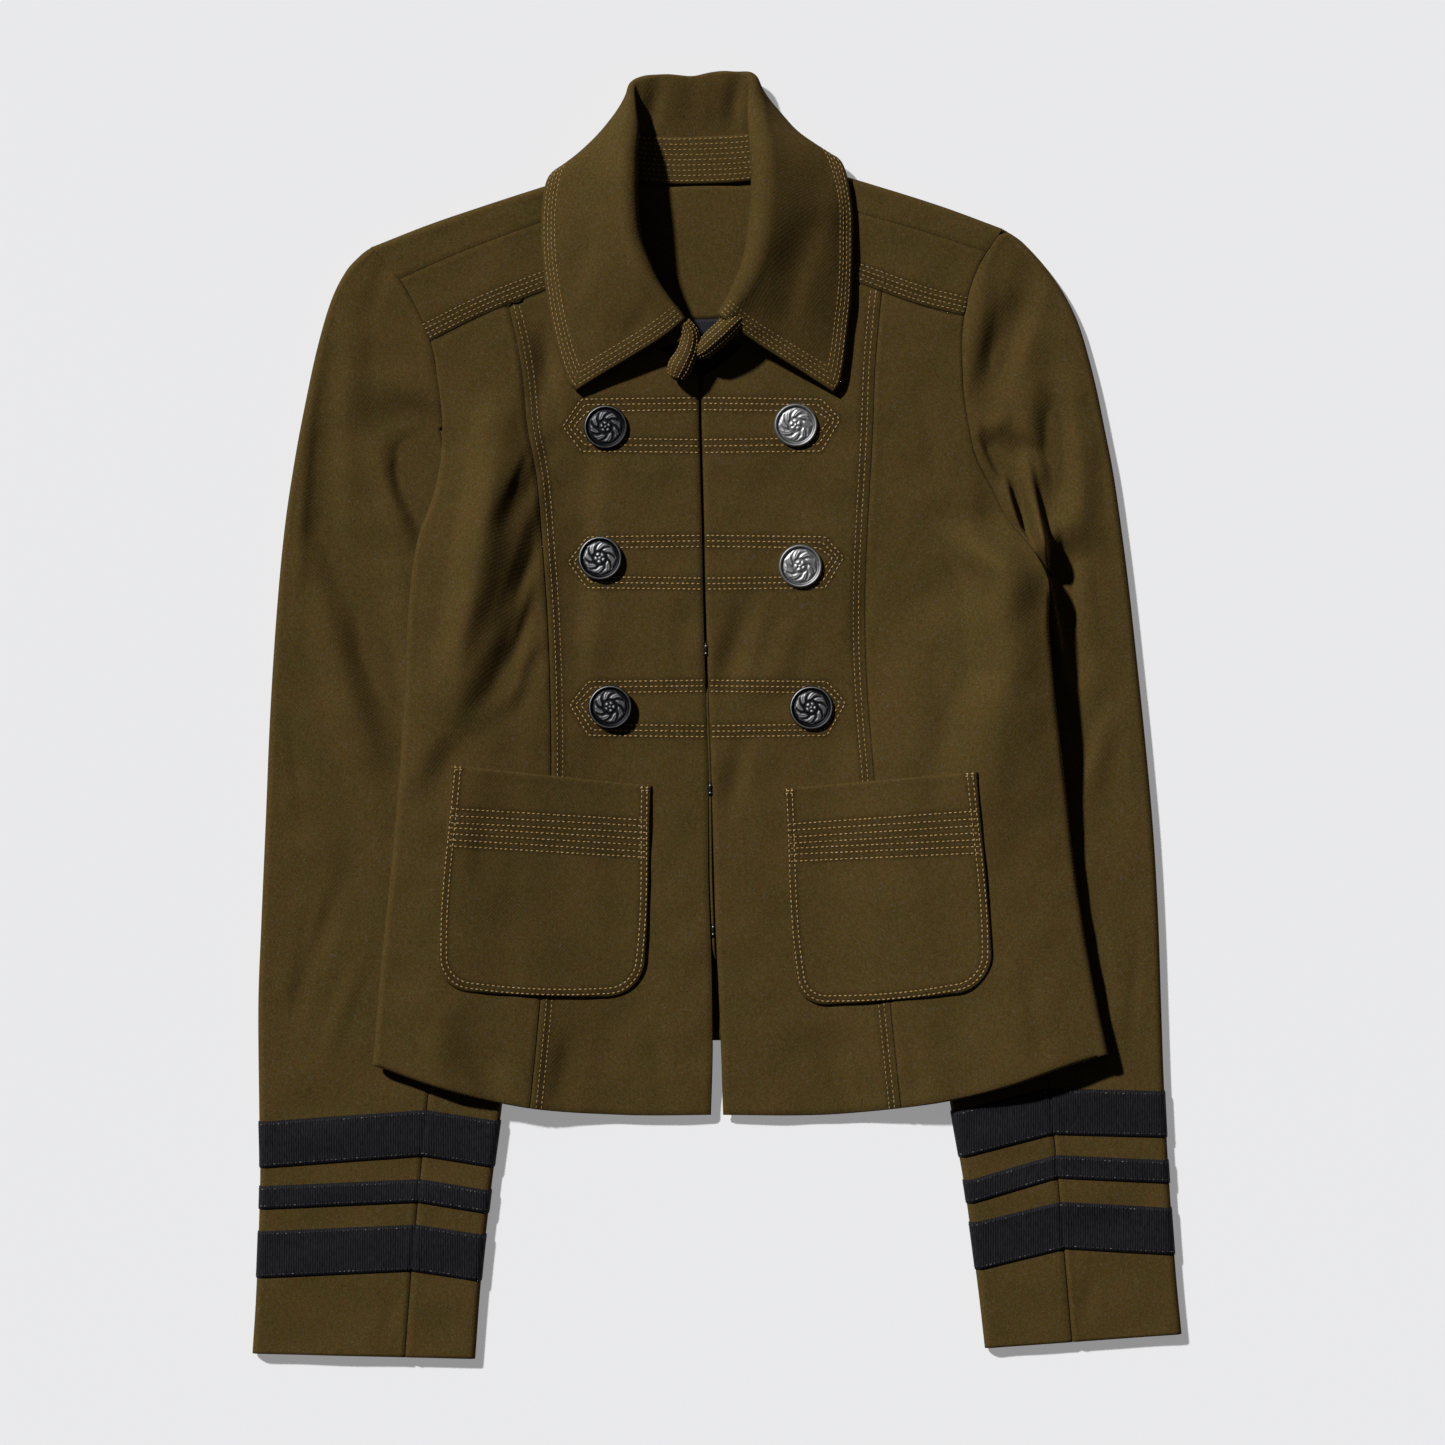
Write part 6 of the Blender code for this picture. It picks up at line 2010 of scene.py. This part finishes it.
def add_button(number, centre, turn, rub_and_sheen):
    """One metal button: a domed disc with a raised rim and its relief."""
    face = BUTTON_HEIGHT - BUTTON_DIP
    inner = BUTTON_RADIUS - BUTTON_RIM
    known, levels = np.transpose([
        (0.0, face), (BUTTON_RADIUS * 0.5, face - 0.15), (inner - 0.5, face - 0.5),
        (inner, BUTTON_HEIGHT - 0.2), (BUTTON_RADIUS - BUTTON_RIM * 0.5, BUTTON_HEIGHT),
        (BUTTON_RADIUS - 0.2, BUTTON_HEIGHT - 0.7), (BUTTON_RADIUS, BUTTON_HEIGHT * 0.45),
    ])
    radii = [np.linspace(0.25, 9.6, 34), np.linspace(BUTTON_FACE, BUTTON_RADIUS, 14)]
    angles = np.linspace(0.0, 2 * math.pi, 145)[:-1]
    radius, angle = np.meshgrid(np.concatenate(radii), angles, indexing="ij")
    inside = radius < BUTTON_FACE
    relief = button_relief(radius, angle) * inside
    height = np.interp(radius, known, levels) - 0.25 * inside + relief * 0.65
    # Rubbed relief and rim, plus each button's own offset, which on the fourth and fifth is a
    # painted reflection
    worn = np.where(inside, relief, ridge(radius, 11.3, 0.4) * 0.9) + rub_and_sheen
    rim = np.array([np.cos(angles), np.sin(angles)]) * BUTTON_RADIUS
    seat = float(front_top(centre.x + rim[0], centre.y + rim[1]).max()) - BUTTON_SINK
    radius = np.vstack([radius, np.full(len(angles), inner)])
    angle = np.vstack([angle, angles]) + turn
    height = np.vstack([height, np.full(len(angles), 0.1)])
    x = centre.x + radius * np.cos(angle)
    y = centre.y + radius * np.sin(angle)
    grid = np.stack([x, y, seat + height], axis=-1)
    ends = [[centre.x, centre.y, seat + levels[0] + 0.35], [centre.x, centre.y, seat + 0.1]]
    points = np.concatenate([grid.reshape(-1, 3), ends])
    marks = {"worn": np.concatenate([worn.ravel(), np.zeros(len(angles)), [0.8, 0.0]])}
    name = "button_%d_dressed" % number
    piece = add_mesh(name, points, closed_rings(*grid.shape[:2]), finish_named("metal"), marks)
    return settle(piece, ["button_%d" % number])


def add_hook(number, level):
    """The closed top of a hook and eye: a lacquered loop with two small lumps painted bright as
    glints.
    """
    centre = np.array([float(front_middle(level)), level])
    centre = np.append(centre, float(front_top(*centre)) - HOOK_SINK)
    angles = np.linspace(0.0, 2 * math.pi, 25)[:-1]
    leans = np.linspace(-math.pi / 2, math.pi / 2, 9)[1:-1]
    rings = [
        (math.cos(up) * math.cos(angle), math.cos(up) * math.sin(angle), math.sin(up))
        for up in leans for angle in angles
    ]
    rings = np.array(rings + [(0.0, 0.0, -1.0), (0.0, 0.0, 1.0)])
    glint_size = (HOOK_GLINT_SIZE, HOOK_GLINT_SIZE, 0.45)
    lumps = [(centre, (*HOOK_HALF, HOOK_SINK), -0.4)]
    # The two small lumps on top are painted bright by their mark of 1.6, as glints of light
    lumps += [(centre + [0.0, off, HOOK_SINK], glint_size, 1.6) for off in (-HOOK_GLINT_OFFSET, HOOK_GLINT_OFFSET)]
    points = np.concatenate([middle + rings * size for middle, size, _ in lumps])
    # bare holds the hook's marks: dark for the loop, and painted glints on the two lumps
    bare = np.repeat([mark for _, _, mark in lumps], len(rings))
    faces = []
    for start in range(0, len(points), len(rings)):
        # These rings climb the other way, so each face is turned over
        joined = closed_rings(len(leans), len(angles), start)
        faces += [(face[0], *face[:0:-1]) for face in joined]
    name = "hook_%d_closed" % number
    piece = add_mesh(name, points, faces, finish_named("metal"), {"worn": bare})
    return settle(piece, [])


class JacketLooks(bpy.types.PropertyGroup):
    """The colours and the light of the jacket."""

    cloth: bpy.props.FloatVectorProperty(
        name="Cloth", description="Colour of the olive twill",
        default=(0.071, 0.0455, 0.0118), min=0.0, max=1.0, subtype="COLOR", size=3,
    )
    ribbon: bpy.props.FloatVectorProperty(
        name="Ribbon", description="Colour of the ribbons round the cuffs",
        default=(0.0070, 0.0067, 0.0092), min=0.0, max=1.0, subtype="COLOR", size=3,
    )
    lining: bpy.props.FloatVectorProperty(
        name="Lining", description="Colour of the lining inside the neck",
        default=(0.0095, 0.0088, 0.0135), min=0.0, max=1.0, subtype="COLOR", size=3,
    )
    thread: bpy.props.FloatVectorProperty(
        name="Thread", description="Colour of the sewing thread",
        default=(0.37, 0.225, 0.072), min=0.0, max=1.0, subtype="COLOR", size=3,
    )
    dark_thread: bpy.props.FloatVectorProperty(
        name="Dark thread", description="Colour of the thread along the ribbons",
        default=(0.013, 0.0125, 0.015), min=0.0, max=1.0, subtype="COLOR", size=3,
    )
    metal: bpy.props.FloatVectorProperty(
        name="Metal", description="Colour of the buttons' dark metal",
        default=(0.019, 0.0195, 0.022), min=0.0, max=1.0, subtype="COLOR", size=3,
    )
    # Also the colour of the painted glints on the hooks and of the painted reflection on two
    # buttons
    worn_metal: bpy.props.FloatVectorProperty(
        name="Worn metal", description="Colour of the metal where it is rubbed",
        default=(0.34, 0.34, 0.345), min=0.0, max=1.0, subtype="COLOR", size=3,
    )
    wire: bpy.props.FloatVectorProperty(
        name="Wire", description="Colour of the hooks and eyes",
        default=(0.01, 0.01, 0.01), min=0.0, max=1.0, subtype="COLOR", size=3,
    )
    floor: bpy.props.FloatVectorProperty(
        name="Floor", description="Colour of the floor",
        default=(0.615, 0.615, 0.625), min=0.0, max=1.0, subtype="COLOR", size=3,
    )
    floor_glow: bpy.props.FloatProperty(
        name="Floor glow", description="Light that the floor gives by itself",
        default=0.27, min=0.0, max=2.0,
    )
    key: bpy.props.FloatProperty(
        name="Key light", description="Strength of the light from the upper left",
        default=4.34, min=0.0, max=20.0,
    )
    fill: bpy.props.FloatProperty(
        name="Fill light", description="Strength of the light from all round",
        default=0.035, min=0.0, max=5.0,
    )
    camera_height: bpy.props.FloatProperty(
        name="Camera height", description="Height of the camera over the floor",
        default=2.8, min=1.0, max=10.0, unit="LENGTH",
    )
    view_width: bpy.props.FloatProperty(
        name="View width", description="Width of floor that the camera takes in",
        default=0.79475, min=0.2, max=4.0, unit="LENGTH",
    )


class JACKET_OT_stage(bpy.types.Operator):
    """Make the floor, the light and the camera"""

    bl_idname = "jacket.stage"
    bl_label = "Stage"

    def execute(self, context):
        chosen = context.scene.jacket_looks
        corners = ((-1, -1), (1, -1), (1, 1), (-1, 1))
        points = [(x * FLOOR_REACH, y * FLOOR_REACH, 0.0) for x, y in corners]
        finish = floor_finish("Pale floor", chosen.floor, chosen.floor_glow)
        floor = add_mesh("floor", points, [(0, 1, 2, 3)], finish)
        floor.location.z = -FLOOR_CLEAR
        world = bpy.data.worlds.new("Studio")
        world.use_nodes = True
        inputs = world.node_tree.nodes["Background"].inputs
        inputs["Color"].default_value = (0.95, 0.97, 1.0, 1.0)
        inputs["Strength"].default_value = chosen.fill
        context.scene.world = world
        sun = bpy.data.lights.new("Key", "SUN")
        sun.energy = chosen.key
        sun.angle = SUN_WIDTH
        key = bpy.data.objects.new("Key", sun)
        key.rotation_euler = Vector(SUN_FROM).to_track_quat("Z", "Y").to_euler()
        context.scene.collection.objects.link(key)
        camera = bpy.data.cameras.new("Camera")
        camera.sensor_width = SENSOR
        camera.lens = SENSOR * chosen.camera_height / chosen.view_width
        camera.clip_end = 50.0
        eye = bpy.data.objects.new("Camera", camera)
        eye.location = (*CAMERA_AT, chosen.camera_height)
        context.scene.collection.objects.link(eye)
        context.scene.camera = eye
        context.scene.view_settings.view_transform = "Standard"
        return {"FINISHED"}


class JACKET_OT_back(bpy.types.Operator):
    """Make the back, the facing and the lining inside the neck, and the underlap"""

    bl_idname = "jacket.back"
    bl_label = "Back and insides"

    def execute(self, context):
        piece = add_cloth("back_panel", back_grids(), turned=True)
        settle(piece, ["back"])
        shares = np.linspace(0.0, 1.0, 45)
        top, middle, foot = [spread(row, shares) for row in (FACING_TOP, FACING_FOOT, LINING_FOOT)]
        for name, node, kind, low, high, steps, height, seed, flat in (
            ("facing", "back_facing", "twill", middle, top, 30, 0.2, 3, (0.094, 0.073)),
            ("lining", "back_lining", "lining", foot, middle, 16, 0.3, 5, (0.087, 0.034)),
        ):
            ends = [straight(low[end], high[end], steps) for end in (0, -1)]
            x, y = np.moveaxis(between(low, high, *ends), -1, 0)
            face = np.dstack([x, y, facing_top(x, y) + undulation(x, y, height, seed)])
            piece = add_cloth(name + "_inside_neck", [face], kind=kind)
            settle(piece, [node])
        levels = np.linspace(*UNDERLAP_ENDS, 150)
        columns = UNDERLAP_HALF * np.linspace(-1.0, 1.0, 41) ** 3
        grid = plan(front_middle(levels)[:, None] + columns[None, :], levels[:, None])
        face = with_height(grid, underlap_face)
        piece = add_cloth("underlap", [face], thickness=UNDERLAP_CLOTH)
        settle(piece, ["front_underlap"])
        return {"FINISHED"}


class JACKET_OT_fronts(bpy.types.Operator):
    """Make the side fronts, the centre fronts and the yokes, with their stitches"""

    bl_idname = "jacket.fronts"
    bl_label = "Fronts and yokes"

    def execute(self, context):
        marks = stitch_shade_marks(BODY_STITCHES)
        thread = Thread(101)
        for side in SIDES:
            on_right = side.sign > 0
            for node, grid, turned, seams, held, flat in (
                ("side_front_", side_front_grid, on_right, "right high", "folded", (0.105, 0.43)),
                ("front_", centre_front_grid, False, "left right high", "laid", (0.098, 0.45)),
                ("yoke_", yoke_grid, False, "low high left right", "laid", (0.112, 0.037)),
            ):
                name = node + side.name
                piece = add_cloth(name + "_panel", [grid(side)], turned, sewn=marks, seams=seams)
                settle(piece, [name])
        for line in BODY_STITCHES:
            laid, normals = on_surface(line, body_surface)
            thread.run(laid, normals, radius=stitch_radius(line))
        thread.add("front_stitches")
        return {"FINISHED"}


class JACKET_OT_sleeves(bpy.types.Operator):
    """Make the upper sleeves and the under sleeves"""

    bl_idname = "jacket.sleeves"
    bl_label = "Sleeves"

    def execute(self, context):
        for side in SIDES:
            turned = side.sign > 0
            upper, under = sleeve_grids(side)
            for node, grid, seams, flat, area in (
                ("sleeve_upper_", upper, "tucked", (0.175, 0.61), 0.088),
                ("sleeve_under_", under, "left right", (0.12, 0.5), None),
            ):
                name = node + side.name
                piece = add_cloth(name + "_panel", [grid], turned, seams=seams)
                settle(piece, [name])
        return {"FINISHED"}


class JACKET_OT_ribbons(bpy.types.Operator):
    """Make the ribbons round the cuffs, with the stitches along their edges"""

    bl_idname = "jacket.ribbons"
    bl_label = "Cuff ribbons"

    def execute(self, context):
        thread = Thread(202)
        for side, ribbons in ((LEFT, LEFT_RIBBONS), (RIGHT, RIGHT_RIBBONS)):
            for number, ribbon in enumerate(ribbons, 1):
                grid, normal = ribbon_grid(side, ribbon, 0.05 + RIBBON)
                name = "ribbon_%s_%d" % (side.name, number)
                piece = add_cloth(name, [grid], side.sign > 0, "ribbon", RIBBON)
                flat = (float(run_lengths(grid, 1)[0, -1]) * MM, ribbon.width * MM)
                settle(piece, ["cuff_" + name])
                for row in (1, -2):
                    thread.run(grid[row], normal[row], *RIBBON_STITCH)
        thread.add("ribbon_stitches", "dark_thread")
        return {"FINISHED"}


class JACKET_OT_pockets(bpy.types.Operator):
    """Make the patch pockets, with their stitches"""

    bl_idname = "jacket.pockets"
    bl_label = "Pockets"

    def execute(self, context):
        thread = Thread(303)
        for side, corners, rows in (
            (LEFT, LEFT_POCKET, LEFT_POCKET_ROWS), (RIGHT, RIGHT_POCKET, RIGHT_POCKET_ROWS),
        ):
            height = pocket_surface(corners, rows)
            lines = [pocket_line(corners, off) for off in POCKET_SIDE_ROWS]
            lines += pocket_rows(corners, rows) + pocket_tacks(corners)
            top_left, top_right, low_right, low_left = [np.array([c.x, c.y]) for c in corners]
            steps = int(POCKET_SPAN / POCKET_STEP)
            grid = between(
                straight(low_left, low_right, steps), straight(top_left, top_right, steps),
                straight(low_left, top_left, steps), straight(low_right, top_right, steps),
            )
            grid = rounded(grid, corners[3], low_left, top_left, low_right)
            grid = rounded(grid, corners[2], low_right, top_right, low_left)
            face = with_height(grid, height)
            name = "pocket_" + side.name
            marks = stitch_shade_marks(lines)
            piece = add_cloth(name + "_patch", [face], thickness=POCKET_CLOTH, sewn=marks)
            settle(piece, [name])
            for line in lines:
                laid, normals = on_surface(line, height)
                thread.run(laid, normals)
        thread.add("pocket_stitches")
        return {"FINISHED"}


class JACKET_OT_collar(bpy.types.Operator):
    """Make the collar's stand and fall, its rolled ends and its stitches"""

    bl_idname = "jacket.collar"
    bl_label = "Collar"

    def execute(self, context):
        stands, falls, left, right = collar_grids()
        thread = Thread(404)
        stand = stand_grid(stands, left, right)
        outer = stand + normals_of(stand) * COLLAR_CLOTH / 2
        # Painted shade all over the stand, in place of the shade that its slope away from the
        # light gives
        painted_stand_shade = lambda x, y: np.full(x.shape, 0.5)
        piece = add_cloth("collar_stand_band", [outer], thickness=COLLAR_CLOTH, sewn=painted_stand_shade)
        settle(piece, ["collar_stand"])
        stand_threads(thread, stand)
        fall = np.array(falls)
        face, normal = fall_face(fall)
        piece = add_cloth("collar_fall_leaf", [face], turned=True, thickness=COLLAR_CLOTH)
        settle(piece, ["collar_fall"])
        collar_threads(thread, face, normal, fall)
        for name, rolls in (("stand_end_left", LEFT_ROLL), ("stand_end_right", RIGHT_ROLL)):
            settle(add_roll(name, rolls, thread), [])
        thread.add("collar_stitches")
        return {"FINISHED"}


class JACKET_OT_metal(bpy.types.Operator):
    """Make the buttons, and finish the hooks and eyes"""

    bl_idname = "jacket.metal"
    bl_label = "Buttons and hooks"

    def execute(self, context):
        for number, centre in enumerate(BUTTON_CENTRES, 1):
            add_button(number, centre, 0.4 * number, BUTTON_RUB_AND_SHEEN[number - 1])
        for number, level in enumerate(HOOK_LEVELS, 1):
            add_hook(number, level)
        for name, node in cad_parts.items():
            if name.startswith(("hook_", "eye_", "neck_hook")):
                node.data.materials.clear()
                node.data.materials.append(finish_named("wire"))
        return {"FINISHED"}


class JACKET_PT_sidebar(bpy.types.Panel):
    """Lists what the jacket is made of"""

    bl_label = "Napoleon jacket"
    bl_idname = "JACKET_PT_sidebar"
    bl_space_type = "VIEW_3D"
    bl_region_type = "UI"
    bl_category = "Jacket"

    def draw(self, context):
        looks = context.scene.jacket_looks
        for name in looks.bl_rna.properties.keys():
            if name not in ("rna_type", "name"):
                self.layout.prop(looks, name)
        for step in STEPS:
            self.layout.operator(step.bl_idname)


STEPS = (
    JACKET_OT_stage,
    JACKET_OT_back,
    JACKET_OT_fronts,
    JACKET_OT_sleeves,
    JACKET_OT_ribbons,
    JACKET_OT_pockets,
    JACKET_OT_collar,
    JACKET_OT_metal,
)
CLASSES = (JacketLooks, *STEPS, JACKET_PT_sidebar)


def register():
    for made in CLASSES:
        bpy.utils.register_class(made)
    bpy.types.Scene.jacket_looks = bpy.props.PointerProperty(type=JacketLooks)


def unregister():
    del bpy.types.Scene.jacket_looks
    for made in reversed(CLASSES):
        bpy.utils.unregister_class(made)


def main():
    register()
    for step in STEPS:
        family, name = step.bl_idname.split(".")
        getattr(getattr(bpy.ops, family), name)()
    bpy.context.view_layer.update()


if __name__ == "__main__":
    main()
